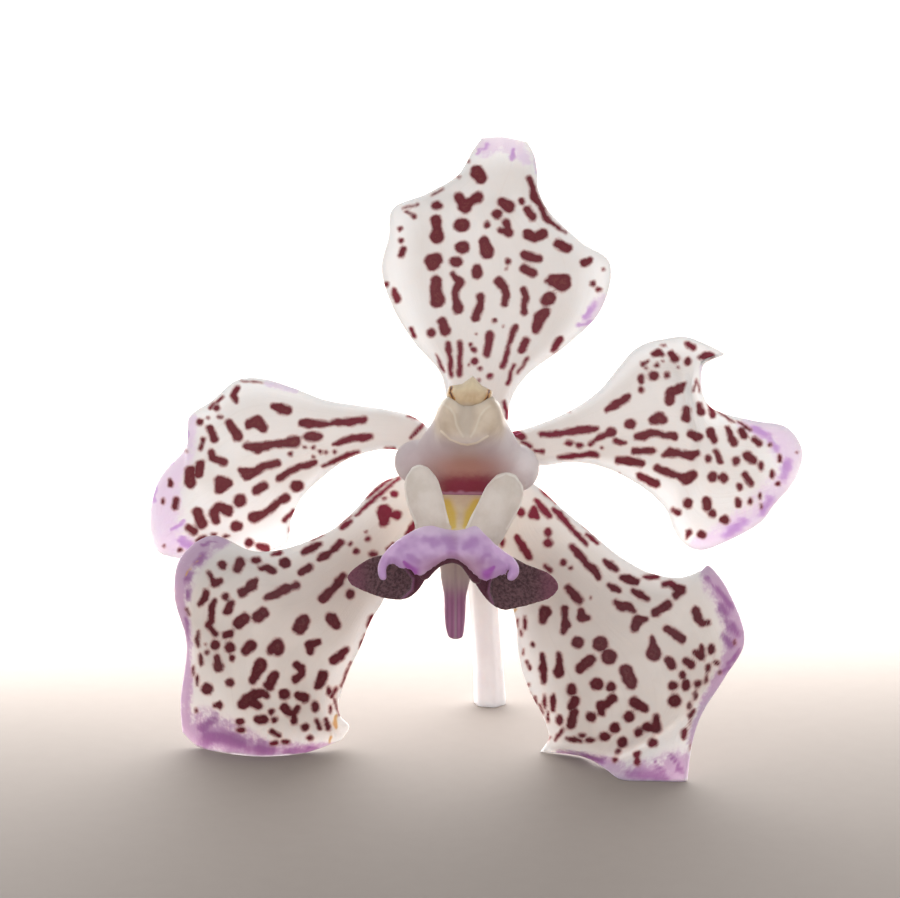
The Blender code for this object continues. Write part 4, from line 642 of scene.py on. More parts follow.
def across(points, roll_first, roll_last, count):
    """Points on a line of a blade, with its margins rolled to the back, and beside each the
    place that it has in the pattern, where the margins lie flat."""
    line = [np.array(p, float) for p in points]
    roll_first, roll_last = max(roll_first, LEAST_ROLL), max(roll_last, LEAST_ROLL)
    first = (line[1] - line[0]) / np.linalg.norm(line[1] - line[0])
    last = (line[-2] - line[-1]) / np.linalg.norm(line[-2] - line[-1])
    line.insert(0, line[0] + first * ROLL_TUCK * roll_first + np.array([0, 0, roll_first]))
    line.append(line[-1] + last * ROLL_TUCK * roll_last + np.array([0, 0, roll_last]))
    knots = spacing(line)
    at = np.linspace(0, knots[-1], FINE_STEPS * count)
    fine = smooth_through(line, knots, at)
    run = np.concatenate([[0.0], np.cumsum(np.linalg.norm(np.diff(fine, axis=0), axis=1))])
    flat = fine[:, :2].copy()
    for margin, outward, beyond in ((1, -first, at < knots[1]), (-2, -last, at > knots[-2])):
        rolled = np.abs(run - np.interp(knots[margin], at, run))[beyond]
        flat[beyond] = line[margin][:2] + outward[:2] * rolled[:, None]
    both = np.hstack([fine, flat])
    want = np.linspace(0, run[-1], count)
    return np.stack([np.interp(want, run, both[:, i]) for i in range(5)], axis=1)


def blade_points(lines, columns, rows):
    """Places and pattern places of a blade on a grid of rows along it and columns across it."""
    sections = np.array([across(*line, columns) for line in lines])
    steps = np.linalg.norm(np.diff(sections[..., :3], axis=0), axis=2).mean(axis=1)
    knots = np.concatenate([[0.0], np.cumsum(np.sqrt(steps))])
    flat = sections.reshape(len(lines), -1)
    return smooth_through(flat, knots, np.linspace(0, knots[-1], rows)).reshape(rows, columns, 5)


# Patterns, as numbers at places of the layout

def fade(values, low, high):
    """0 up to the low value, 1 from the high one, and a soft rise between."""
    t = np.clip((np.asarray(values, float) - low) / (high - low), 0, 1)
    return t * t * (3 - 2 * t)


def hump(values, middle, width, power=2):
    """1 at the middle, falling to 0 on both sides. A higher power has a flatter top."""
    return np.exp(-(((values - middle) / width) ** power))


def ripple(places, size, seed):
    """Smooth waves of about the given size, between about -1 and 1, at each place."""
    draw = np.random.default_rng(seed)
    places = np.asarray(places, float)
    total = np.zeros(len(places))
    for _ in range(WAVES):
        heading = draw.normal(size=places.shape[1])
        heading /= np.linalg.norm(heading)
        pitch = 2 * math.pi / (size * draw.uniform(0.7, 1.5))
        total += np.sin(places @ heading * pitch + draw.uniform(0, 2 * math.pi))
    return total / (WAVES / 2)


def drift(places, reach, size, seed):
    """The places, each moved a little, which makes the edges of what is laid out there uneven."""
    return places + reach * np.stack([ripple(places, size, seed), ripple(places, size, seed + 1)], 1)


def from_photo(px, py):
    """Layout place of a pixel of the photograph, at the depth of the face."""
    return (px - PHOTO_MIDDLE[0]) / PIXELS_PER_MM, (PHOTO_MIDDLE[1] - py) / PIXELS_PER_MM


def chain_of(mark):
    """A mark as a chain of (x, up, radius) in millimetres."""
    triples = [mark[i : i + 3] for i in range(0, len(mark), 3)]
    return [(*from_photo(px, py), radius / PIXELS_PER_MM) for px, py, radius in triples]


def chain_distance(places, chain, as_share=False):
    """Distance of each place to the edge of a chain, less than zero inside it, or as a share
    of the chain's radius there."""
    best = np.full(len(places), np.inf)
    links = list(zip(chain[:-1], chain[1:])) or [(chain[0], chain[0])]
    for (x0, y0, r0), (x1, y1, r1) in links:
        start, along = np.array([x0, y0]), np.array([x1 - x0, y1 - y0])
        length = max(along @ along, 1e-12)
        t = np.clip((places - start) @ along / length, 0, 1)
        gap = np.linalg.norm(places - start - t[:, None] * along, axis=1)
        radius = r0 + (r1 - r0) * t
        best = np.minimum(best, gap / radius if as_share else gap - radius)
    return best


def mark_distance(places, mark):
    """Distance of each place to the edge of a mark, less than zero inside it."""
    if len(mark) != 4:
        return chain_distance(places, chain_of(mark))
    offset = places - np.array(from_photo(*mark[:2]))
    half = np.array(mark[2:]) / PIXELS_PER_MM
    reach = np.linalg.norm(offset / half, axis=1)
    slope = np.maximum(np.linalg.norm(offset / half**2, axis=1), 1e-6)
    return np.where(reach < 0.05, -half.min(), (reach - 1.0) * reach / slope)


def ridge(places, marks, width):
    """1 on the lines of the marks, falling to 0 within about the width on both sides."""
    lines = [[(x, up, 0.0) for x, up, _ in chain_of(mark)] for mark in marks]
    return np.max([hump(chain_distance(places, line), 0.0, width) for line in lines], axis=0)


def glow(places, marks):
    """1 along the lines of the marks, falling off softly past their reach."""
    return np.max([np.exp(-(chain_distance(places, chain_of(m), True) ** 2)) for m in marks], axis=0)


# Mesh making

def flat_sheet(columns, rows):
    """A flat sheet, with the row and the column of each vertex."""
    bm = bmesh.new()
    bmesh.ops.create_grid(bm, x_segments=columns - 1, y_segments=rows - 1, size=1.0)
    flat = np.array([vertex.co for vertex in bm.verts])
    column = np.rint((flat[:, 0] + 1) / 2 * (columns - 1)).astype(int)
    row = np.rint((flat[:, 1] + 1) / 2 * (rows - 1)).astype(int)
    return bm, row, column


def ball_sheet(around, along):
    """A ball of radius 1, with the places of its vertices, which of its rings each lies on and
    its angle there."""
    bm = bmesh.new()
    bmesh.ops.create_uvsphere(bm, u_segments=around, v_segments=along, radius=1.0)
    ball = np.array([vertex.co for vertex in bm.verts])
    ring = np.rint(np.arccos(np.clip(ball[:, 2], -1, 1)) / math.pi * along).astype(int)
    return bm, ball, ring, np.arctan2(ball[:, 1], ball[:, 0])


def move_to(bm, points):
    """Moves each vertex to its point of the layout."""
    for vertex, point in zip(bm.verts, place(points)):
        vertex.co = point


def face_outwards(bm):
    """Turns all faces of a closed body outwards."""
    bmesh.ops.recalc_face_normals(bm, faces=bm.faces[:])
    return bm


def rounded_mesh(rings, first, second, around, along, cup=0.0, fullness=2.0):
    """A closed rounded body drawn from its rings, whose half widths lie along first and second.
    A cup bends each ring's middle along second, and a fullness over 2 squares it."""
    rings = drawn_through(rings, along + 1)
    rings[:, 3:] = np.maximum(rings[:, 3:], 0.0)
    bm, _, k, angle = ball_sheet(around, along)
    ring = rings[k]
    one, two = np.cos(angle), np.sin(angle)
    one = np.sign(one) * np.abs(one) ** (2.0 / fullness)
    two = np.sign(two) * np.abs(two) ** (2.0 / fullness)
    bend = cup * (1.0 - one**2) * np.minimum(ring[:, 3], 1.0)
    move_to(
        bm,
        ring[:, :3]
        + np.array(first, float) * (ring[:, 3] * one)[:, None]
        + np.array(second, float) * (ring[:, 4] * two + bend)[:, None],
    )
    return face_outwards(bm)


def tube_mesh(line, around, along, ribs=0, depth_of_ribs=0.0):
    """A closed tube along a line of (x, up, depth, radius), with shallow ribs along it."""
    line = drawn_through(line, along + 1)
    line[:, 3] = np.maximum(line[:, 3], 0.0)
    run = np.gradient(line[:, :3], axis=0)
    run /= np.linalg.norm(run, axis=1)[:, None]
    side = np.cross(run, [1.0, 0.0, 0.0])
    side /= np.linalg.norm(side, axis=1)[:, None]
    other = np.cross(run, side)
    bm, _, k, angle = ball_sheet(around, along)
    radius = line[k, 3] * (1.0 + depth_of_ribs * np.cos(ribs * (angle + RIB_TWIST * k / along)))
    outward = side[k] * np.cos(angle)[:, None] + other[k] * np.sin(angle)[:, None]
    move_to(bm, line[k, :3] + outward * radius[:, None])
    return face_outwards(bm)


def ball_mesh(centre, half, around, along):
    """A ball about a centre, with its half sizes sideways, upwards and back."""
    bm, ball, _, _ = ball_sheet(around, along)
    move_to(bm, np.array(centre) + ball[:, [0, 2, 1]] * np.array(half))
    return face_outwards(bm)


def sheet_mesh(lines, columns, rows, thickness):
    """A closed sheet of even thickness through lines of points, with plain margins."""
    grid = blade_points([(points, 0.0, 0.0) for points in lines], columns, rows)
    bm, row, column = flat_sheet(columns, rows)
    move_to(bm, grid[row, column, :3])
    bmesh.ops.solidify(bm, geom=bm.faces[:], thickness=thickness)
    return face_outwards(bm)


def link_mesh(name, bm, *materials):
    """An object of the bmesh, with smooth shading."""
    mesh = bpy.data.meshes.new(name)
    bm.to_mesh(mesh)
    bm.free()
    mesh.shade_smooth()
    for material in materials:
        mesh.materials.append(material)
    made = bpy.data.objects.new(name, mesh)
    bpy.context.scene.collection.objects.link(made)
    return made


def join_meshes(name, pieces, material):
    """One object of several bmeshes, still loose in one another."""
    bm = bmesh.new()
    for piece in pieces:
        mesh = bpy.data.meshes.new("part")
        piece.to_mesh(mesh)
        piece.free()
        bm.from_mesh(mesh)
        bpy.data.meshes.remove(mesh)
    return link_mesh(name, bm, material)


def coordinates(mesh):
    co = np.zeros(len(mesh.vertices) * 3, np.float32)
    mesh.vertices.foreach_get("co", co)
    return co.reshape(-1, 3).astype(float)


def set_coordinates(mesh, co):
    mesh.vertices.foreach_set("co", np.ascontiguousarray(co, np.float32).ravel())
    mesh.update()


def turned_to_viewer(mesh):
    """1 where the surface faces the viewer, 0 where it is seen edge on and -1 at the back."""
    normals = np.zeros(len(mesh.vertices) * 3, np.float32)
    mesh.vertex_normals.foreach_get("vector", normals)
    return -normals.reshape(-1, 3).astype(float) @ np.array(BACK)


def set_attributes(mesh, **patterns):
    """Keeps each pattern, a number at every vertex, for the material to read by its name."""
    for name, values in patterns.items():
        attribute = mesh.attributes.new(name, "FLOAT", "POINT")
        attribute.data.foreach_set("value", np.ascontiguousarray(values, np.float32).ravel())


def even_out(mesh, values, rounds):
    """Values at the vertices, each averaged again and again with its neighbours."""
    edges = np.zeros(len(mesh.edges) * 2, np.int32)
    mesh.edges.foreach_get("vertices", edges)
    a, b = edges.reshape(-1, 2).T
    n = len(values)
    count = np.bincount(np.concatenate([a, b]), minlength=n)[:, None]
    for _ in range(rounds):
        total = [np.bincount(a, v[b], n) + np.bincount(b, v[a], n) for v in values.T]
        values = 0.5 * values + 0.5 * np.stack(total, axis=1) / count
    return values


def settle(made):
    """Gives an object the mesh that its modifiers make, and drops them."""
    evaluated = made.evaluated_get(bpy.context.evaluated_depsgraph_get())
    mesh = bpy.data.meshes.new_from_object(evaluated)
    made.modifiers.clear()
    made.data = mesh
    mesh.shade_smooth()
    return mesh


def grow_together(made, grain):
    """Joins all that an object holds into one skin, in cells of the given size."""
    cells = made.modifiers.new("cells", "REMESH")
    cells.mode = "VOXEL"
    cells.voxel_size = grain
    return settle(made)


def thicken(made, thickness, group="", inner_material=0):
    """Gives a sheet its thickness, inwards, less where the group says so."""
    wall = made.modifiers.new("thickness", "SOLIDIFY")
    wall.thickness = thickness
    wall.offset = -1.0
    wall.vertex_group = group
    wall.material_offset = inner_material
    return settle(made)


def finish_piece(name, made):
    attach(made, "root")
    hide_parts(name)


# Pieces

def add_blade(name, lines, marks, lilac, strokes, ochre, materials):
    """A sepal or petal: a fine sheet with its marks and flushes as attributes."""
    columns, rows = BLADE_COLUMNS, BLADE_ROWS
    grid = blade_points(lines, columns, rows)
    bm, row, column = flat_sheet(columns, rows)
    points = grid[row, column]
    pattern = points[:, 3:].copy()
    made = link_mesh(name + "_bloom", bm, *materials)
    mesh = made.data
    set_coordinates(mesh, np.maximum(place(points[:, :3]), [-1, -1, FOOT]))

    warped = drift(pattern, 0.05, 1.1, seed=sum(map(ord, name)))
    uneven = drift(pattern, 0.12, 0.9, seed=5)
    distance = np.full(len(pattern), FAR)
    for mark in marks:
        distance = np.minimum(distance, mark_distance(warped, mark))
    flush = np.zeros(len(pattern))
    for path in lilac:
        share = chain_distance(pattern, chain_of(path), as_share=True)
        flush = np.maximum(flush, np.clip(1.25 - share, 0, 1))
    along, sideways = row / (rows - 1), column / (columns - 1)
    edge = np.minimum(column, columns - 1 - column) / (columns - 1)
    tip = (rows - 1 - row) / (rows - 1)
    # The margin pattern is where the material paints a glow of painted light, and the middle pattern where
    # it paints a painted shade.
    set_attributes(
        mesh,
        margin=1.0 - fade(np.minimum(edge, tip * 1.2), 0.02, 0.24),
        mark=distance,
        lilac=flush,
        stroke=glow(uneven, strokes),
        ochre=glow(uneven, ochre) if ochre else np.zeros(len(pattern)),
        along=along,
        across=sideways,
        middle=np.exp(-(((along - 0.42) / 0.22) ** 2 + ((sideways - 0.5) / 0.3) ** 2)),
    )

    body = np.rint(np.clip(np.minimum(edge * 9, tip * 14), 0, 1) * THICKNESS_STEPS)
    group = made.vertex_groups.new(name="body")
    for level in range(THICKNESS_STEPS + 1):
        weight = MARGIN_THICKNESS + (1 - MARGIN_THICKNESS) * level / THICKNESS_STEPS
        group.add(np.flatnonzero(body == level).tolist(), weight, "REPLACE")
    mesh = thicken(made, BLADE_THICKNESS, "body", inner_material=1)
    set_coordinates(mesh, np.maximum(coordinates(mesh), [-1, -1, FOOT]))
    finish_piece(name, made)


def add_column(material):
    """The column: a stout body with an ear on each side, and the cap's seat cut into its end."""
    pieces = [rounded_mesh(COLUMN, SIDEWAYS, UPWARDS, around=96, along=90, fullness=2.3)]
    pieces += [ball_mesh(centre, half, around=64, along=40) for centre, half in COLUMN_EARS]
    column = join_meshes("column_bloom", pieces, material)
    mesh = grow_together(column, COLUMN_GRAIN)
    co = even_out(mesh, coordinates(mesh), rounds=60)
    set_coordinates(mesh, co)
    x, up, depth = seen(co).T
    flat = np.stack([x, up], axis=1)
    facing = fade(turned_to_viewer(mesh), -0.1, 0.35)
    end = facing * fade(-depth, 3.4, 4.4)
    rim = ridge(flat, [COLUMN_RIM], 0.25) * facing
    ridges = ridge(flat, COLUMN_RIDGES, 0.18) * end
    channel = fade(-chain_distance(flat, chain_of(COLUMN_CHANNEL)), -0.4, 0.7) * end
    folds = np.cos((x - 1.6) * 6.5 + 0.8 * np.sin(up * 1.1)) * channel
    push = -0.16 * rim - 0.08 * ridges + 0.18 * channel - 0.03 * folds
    set_coordinates(mesh, co + np.array(BACK) * push[:, None] * MM)
    seat = link_mesh("seat", cap_mesh(SEAT_GAP, around=64, along=40))
    cut = column.modifiers.new("seat", "BOOLEAN")
    cut.operation = "DIFFERENCE"
    cut.object = seat
    mesh = settle(column)
    bpy.data.objects.remove(seat)

    x, up, depth = seen(coordinates(mesh)).T
    flat = np.stack([x, up], axis=1)
    facing = fade(turned_to_viewer(mesh), -0.1, 0.35)
    below = fade(depth, -6.0, -5.2) * fade(-depth, -2.6, -1.6)
    end = facing * fade(-depth, 2.6, 4.6)
    channel = fade(-chain_distance(flat, chain_of(COLUMN_CHANNEL)), -0.7, 0.7)
    set_attributes(
        mesh,
        beige=fade(up, -0.3, 2.2) * fade(-depth, 1.0, 4.2),
        # painted shade under the end of the column
        dusk=below * fade(-up, -2.4, 0.8) * hump(x, 0.6, 5.6, power=4),
        rosy=below * hump(x, 1.7, 4.3) * fade(-up, -0.8, 2.0),
        maroon=below * hump(x, 1.8, 3.4, power=4) * fade(-up, 1.6, 3.7),
        hem=below * fade(-up + 0.13 * ripple(flat, 0.8, 3), 4.0, 4.5),
        rim=ridge(flat, [COLUMN_RIM], 0.12) * facing,
        ridge=ridge(flat, COLUMN_RIDGES, 0.14) * end,
        channel=channel * end,
    )
    finish_piece("column", column)


def cap_mesh(extra, around, along):
    """A ball the size of the cap and a bit more, with a flatter face."""
    bm = ball_mesh(CAP_CENTRE, [h + extra for h in CAP_HALF], around, along)
    lay = seen([vertex.co for vertex in bm.verts])
    out = (lay[:, :2] - CAP_CENTRE[:2]) / (np.array(CAP_HALF[:2]) + extra)
    ahead = lay[:, 2] < CAP_CENTRE[2]
    flatter = np.where(ahead, np.sqrt(1.0 + (out**2).sum(axis=1)), 1.0)
    lay[:, 2] = CAP_CENTRE[2] + (lay[:, 2] - CAP_CENTRE[2]) * flatter
    move_to(bm, lay)
    return bm


def add_cap(material):
    """The anther cap: a shell with a low crest that ends in a beak at the top."""
    bm = cap_mesh(0.0, around=96, along=72)
    far = [vertex for vertex in bm.verts if seen([vertex.co])[0][2] > CAP_BACK]
    bmesh.ops.delete(bm, geom=far, context="VERTS")
    cap = link_mesh("anther_cap_bloom", bm, material)
    mesh = cap.data
    lay = seen(coordinates(mesh))
    x, up = lay[:, 0], lay[:, 1]
    round_top = CAP_CENTRE[1] + CAP_HALF[1] * np.sqrt(
        np.maximum(1 - ((x - CAP_CENTRE[0]) / CAP_HALF[0]) ** 2, 0.04)
    )
    low = CAP_CENTRE[1] - 0.5
    stretch = (np.interp(x, *CAP_TOP) - low) / (round_top - low)
    beak = np.clip(1 - np.abs(x - 2.3) / 1.0, 0, 1) * fade(up, 5.6, 6.8)
    crest = hump(x, 2.15, 0.4) * fade(up, 4.2, 5.6)
    cheeks = sum(np.exp(-(((x - a) / 0.6) ** 2) - ((up - b) / 0.8) ** 2) for a, b in CAP_CHEEKS)
    notch = ridge(lay[:, :2], CAP_MARKS, 0.22)
    lay[:, 1] = np.where(up > low, low + (up - low) * stretch, up)
    lay[:, 2] += -0.12 * crest - 0.12 * cheeks + 0.22 * notch + 0.3 * beak
    set_coordinates(mesh, place(lay))
    mesh = thicken(cap, CAP_WALL)
    x, up, depth = seen(coordinates(mesh)).T
    set_attributes(
        mesh,
        mark=ridge(np.stack([x, up], axis=1), CAP_MARKS, 0.17) * fade(-depth, 4.2, 4.6),
        high=fade(up, 4.6, 6.6),
        low=fade(-up, -5.0, -4.2) * hump(x, 1.7, 0.9),
    )
    finish_piece("anther_cap", cap)


def add_pollinarium(material):
    """Two pollinia on their strap, under the cap."""
    pieces = [rounded_mesh(STIPE, SIDEWAYS, (0, 0.8, 0.6), around=24, along=30)]
    pieces += [
        ball_mesh(centre, [POLLINIUM_RADIUS] * 3, around=32, along=20) for centre in POLLINIUM_CENTRES
    ]
    made = join_meshes("pollinarium_bloom", pieces, material)
    grow_together(made, POLLEN_GRAIN)
    finish_piece("pollinarium", made)


def add_lip(material):
    """The lip, grown as one: its parts are joined, and each leaves its share at the surface."""
    parts = {
        "body": [
            rounded_mesh(LIP_BODY, SIDEWAYS, UPWARDS, around=48, along=60),
            rounded_mesh(THROAT, SIDEWAYS, (0, 0.86, -0.5), around=64, along=60),
        ],
        "lobe": [
            rounded_mesh(SIDE_LOBE_LEFT, (1, 0, -0.25), DEEP, around=56, along=60, cup=-0.35),
            rounded_mesh(SIDE_LOBE_RIGHT, (1, 0, 0.25), DEEP, around=56, along=60, cup=-0.35),
        ],
        "wing": [
            rounded_mesh(WING_LEFT, (0, 1, WING_SLANT), DEEP, around=64, along=70, cup=0.7),
            rounded_mesh(WING_RIGHT, (0, 1, WING_SLANT), DEEP, around=64, along=70, cup=0.7),
            tube_mesh(UNDERSIDE, around=24, along=60),
        ],
        "tip": [
            sheet_mesh(LIP_TIP, columns=31, rows=91, thickness=TIP_THICKNESS),
            tube_mesh(LEFT_HOOK, around=24, along=50),
            tube_mesh(RIGHT_HOOK, around=24, along=50),
        ],
        "spur": [rounded_mesh(SPUR, SIDEWAYS, DEEP, around=56, along=60)],
    }
    spans, pieces, count = [], [], 0
    for bodies in parts.values():
        spans.append(count)
        count += sum(len(bm.faces) for bm in bodies)
        pieces += bodies
    made = join_meshes("lip_bloom", pieces, material)
    tree = BVHTree.FromPolygons(
        [v.co for v in made.data.vertices], [p.vertices[:] for p in made.data.polygons]
    )
    mesh = grow_together(made, LIP_GRAIN)
    owner = [tree.find_nearest(v.co)[2] for v in mesh.vertices]
    part_of = np.searchsorted(spans, owner, side="right") - 1
    _, lobe, wing, tip, spur = even_out(mesh, np.eye(len(parts))[part_of], rounds=8).T
    co = even_out(mesh, coordinates(mesh), rounds=6)
    set_coordinates(mesh, co)

    lay = seen(co)
    flat, x, up = lay[:, :2], lay[:, 0], lay[:, 1]
    facing = fade(turned_to_viewer(mesh), -0.1, 0.3)
    folds = ridge(flat, WING_FOLDS, 0.2) * wing * facing
    valley = hump(x, 0.35, 0.55) * tip
    low_spur = spur * fade(-up, 11.0, 13.5)
    lay[:, 2] -= 0.5 * folds
    lay[:, 2] += 0.25 * valley * facing
    lay[:, 2] += 0.18 * hump(x, 0.55, 0.22) * low_spur * facing
    set_coordinates(mesh, place(lay))

    left = x < 0.5
    face = np.where(left, np.interp(-up, *LEFT_CREASE) - x, x - np.interp(-up, *RIGHT_CREASE))
    reach = np.where(left, -x - 8.6, x - 9.2)
    # How far the surface is turned edge on, for the painted sheen on the wings' hairs.
    edge_on = 1.0 - fade(turned_to_viewer(mesh), 0.1, 0.6)
    set_attributes(
        mesh,
        lobe=lobe,
        wing=wing,
        tip=tip,
        spur=spur,
        face=fade(face, -0.15, 0.15) * wing,
        fold=folds,
        reach=fade(reach, -1.6, 1.6) * wing,
        fringe=wing * fade(reach, -3.5, 0.5) * edge_on,
        down=fade(-up, 11.8, 16.5),
        side=x - 0.55,
        violet=glow(flat, VIOLET),
        lip_rim=ridge(flat, LOBE_RIM_LIGHTS, 0.16),
        blotch=glow(drift(flat, 0.12, 1.0, seed=1), BLOTCHES),
        yellow=glow(flat, YELLOW),
        valley=valley,
        # the tip's upper edge, painted paler as a highlight; its valley and lower part, painted darker as
        # shade
        edge=fade(up, -9.4, -7.9) * tip,
        arch=fade(-up, 9.6, 11.8) * hump(x, 0.4, 3.8) * tip,
    )
    finish_piece("lip", made)


def add_pedicel(material):
    """The pedicel: a ribbed tube, cut flat just over the ground."""
    bm = tube_mesh(PEDICEL, around=72, along=150, ribs=PEDICEL_RIBS, depth_of_ribs=0.05)
    cut = bmesh.ops.bisect_plane(
        bm,
        geom=bm.verts[:] + bm.edges[:] + bm.faces[:],
        plane_co=(0, 0, FOOT),
        plane_no=(0, 0, 1),
        clear_inner=True,
    )
    edges = [e for e in cut["geom_cut"] if isinstance(e, bmesh.types.BMEdge)]
    bmesh.ops.contextual_create(bm, geom=edges)
    made = link_mesh("pedicel_bloom", face_outwards(bm), material)
    mesh = made.data
    set_attributes(mesh, down=fade(-seen(coordinates(mesh))[:, 1], 2.0, 20.0))
    finish_piece("pedicel", made)


# Materials

class Recipe:
    """A material under construction, with short ways to add its nodes."""

    def __init__(self, name):
        self.material = bpy.data.materials.new(name)
        self.material.use_nodes = True
        self.tree = self.material.node_tree
        self.shader = self.tree.nodes["Principled BSDF"]
        self.place = self.add("ShaderNodeTexCoord").outputs["Object"]

    def feed(self, socket, value):
        if isinstance(value, bpy.types.NodeSocket):
            self.tree.links.new(value, socket)
        elif isinstance(value, tuple) and len(value) == 3 and len(socket.default_value) == 4:
            socket.default_value = (*value, 1.0)
        else:
            socket.default_value = value

    def add(self, kind, inputs=(), **settings):
        """A node with its settings made, and its inputs fed by their names or numbers."""
        made = self.tree.nodes.new(kind)
        for key, value in settings.items():
            setattr(made, key, value)
        for key, value in dict(inputs).items():
            self.feed(made.inputs[key], value)
        return made

    def number(self, name):
        """A pattern that the mesh keeps under its name."""
        return self.add("ShaderNodeAttribute", attribute_name=name).outputs["Fac"]

    def noise(self, size, detail=2.0, roughness=0.5, vector=None):
        """Noise with features of about the given size, in metres unless a vector is given."""
        vector = self.place if vector is None else vector
        inputs = {"Scale": 1.0 / size, "Detail": detail, "Roughness": roughness, "Vector": vector}
        return self.add("ShaderNodeTexNoise", inputs).outputs["Fac"]

    def math(self, operation, first, second=0.0):
        return self.add("ShaderNodeMath", {0: first, 1: second}, operation=operation).outputs[0]

    def step(self, value, low, high, to_low=0.0, to_high=1.0):
        """A soft rise, or fall, from one number to another while the value goes from low to high."""
        inputs = {"Value": value, "From Min": low, "From Max": high, "To Min": to_low, "To Max": to_high}
        return self.add("ShaderNodeMapRange", inputs, interpolation_type="SMOOTHSTEP").outputs["Result"]

    def mix(self, share, first, second):
        return self.add("ShaderNodeMix", {0: share, 6: first, 7: second}, data_type="RGBA").outputs[2]

    def tint(self, under, name, tone, share=1.0, low=0.0, high=1.0):
        """Lays a share of a tone over what is under it, as a pattern rises from low to high."""
        return self.mix(self.step(self.number(name), low, high, 0.0, share), under, tone)

    def mottle(self, noise, first, second, low=0.35, high=0.7):
        """Two tones in soft patches."""
        return self.mix(self.step(noise, low, high), first, second)

    def bump(self, height, distance, strength=0.5):
        inputs = {"Distance": distance, "Strength": strength, "Height": height}
        self.set(Normal=self.add("ShaderNodeBump", inputs).outputs[0])

    def set(self, **values):
        for key, value in values.items():
            self.feed(self.shader.inputs[key.replace("_", " ")], value)

    def flesh(self, colour, depth, weight, roughness, specular):
        """A fleshy surface, which light enters to about the given depth."""
        self.set(Base_Color=colour, Roughness=roughness, Specular_IOR_Level=specular)
        self.set(Subsurface_Weight=weight, Subsurface_Radius=(1.0, 0.9, 0.85), Subsurface_Scale=depth)


def blade_material(name, mark_strength, tones):
    """White flesh with fine veins, lilac margins and strokes, ochre bruises and maroon marks, and painted
    light and shade: a glow at the margins, a claw tone and a shaded middle.
    """
    r = Recipe(name)
    side, end = r.math("MULTIPLY", r.number("across"), 46.0), r.math("MULTIPLY", r.number("along"), 3.0)
    veins = r.noise(1.0, 3.0, 0.6, r.add("ShaderNodeCombineXYZ", {"X": side, "Y": end}).outputs[0])
    body = r.mix(r.step(r.noise(0.006, 3.0), 0.35, 0.7, 0.0, 0.5), tones["white"], tones["shade"])
    body = r.mix(r.step(veins, 0.5, 0.75, 0.0, 0.28), body, tones["shade"])
    # Painted shade by the claw on the upper blades, where the column and the lip shade them; on the lower
    # blades the claw tone is lighter, painted light.
    body = r.mix(r.step(r.number("along"), 0.0, 0.6, 0.75, 0.0), body, tones["claw"])
    # Painted shade over the middle of the blade, for the shading of its form.
    body = r.tint(body, "middle", tones["dusk"], 0.6)
    clouds = r.step(r.noise(0.0016, 3.0, 0.55), 0.3, 0.7, -0.24, 0.24)
    grain = r.step(r.noise(0.0004, 2.0), 0.3, 0.7, -0.1, 0.1)
    streaks = r.step(veins, 0.3, 0.72, -0.05, 0.05)
    # Painted light: the margins are laid over with a brighter tone, for the light that shines through their
    # thin edges.
    body = r.tint(body, "margin", tones["margin"], 0.85)

    blotches = r.math("ADD", streaks, r.math("ADD", clouds, grain))
    blotches = r.math("MULTIPLY", blotches, r.step(r.number("lilac"), 0.0, 0.5))
    lilac = r.math("ADD", r.number("lilac"), blotches)
    body = r.mix(r.step(lilac, 0.05, 0.9, 0.0, 0.75), body, tones["lilac"])
    uneven = r.math("ADD", streaks, r.math("MULTIPLY", clouds, 0.8))
    uneven = r.math("MULTIPLY", uneven, r.step(r.number("stroke"), 0.0, 0.3))
    stroke = r.math("ADD", r.number("stroke"), uneven)
    body = r.mix(r.step(stroke, 0.05, 1.1, 0.0, 0.8), body, tones["lilac_deep"])
    body = r.tint(body, "ochre", OCHRE, 0.8, 0.1, 0.9)

    ragged = r.step(r.noise(0.0005, 2.0), 0.3, 0.7, -0.04, 0.04)
    distance = r.math("ADD", r.number("mark"), ragged)
    halo = r.step(distance, 0.0, 0.26, 0.4 * mark_strength, 0.0)
    body = r.mix(halo, body, MAROON_EDGE)
    inside = r.step(distance, -0.16, 0.12, mark_strength, 0.0)
    speckle = r.step(r.noise(0.0006, 2.0), 0.35, 0.75, 0.0, 0.45)
    dark = r.mix(speckle, tones["maroon"], tones["maroon_light"])
    flecks = r.step(r.noise(0.0003), 0.4, 0.6)
    faded = r.math("MULTIPLY", r.step(distance, -0.6, -0.25, 0.34, 0.0), flecks)
    dark = r.mix(faded, dark, tones["faded"])
    dark = r.tint(dark, "margin", MARGIN_CRIMSON, 0.35, low=0.35)
    dark = r.mix(r.step(r.number("along"), 0.1, 0.42, 0.75, 0.0), dark, tones["crimson"])
    body = r.mix(inside, body, dark)
    r.flesh(body, 0.0011, 0.75, 0.45, 0.25)
    fine = r.noise(0.00022, 2.0)
    height = r.math("ADD", r.math("MULTIPLY", veins, 0.8), r.math("MULTIPLY", fine, 0.25))
    r.bump(height, 0.00010, 0.6)
    return r.material


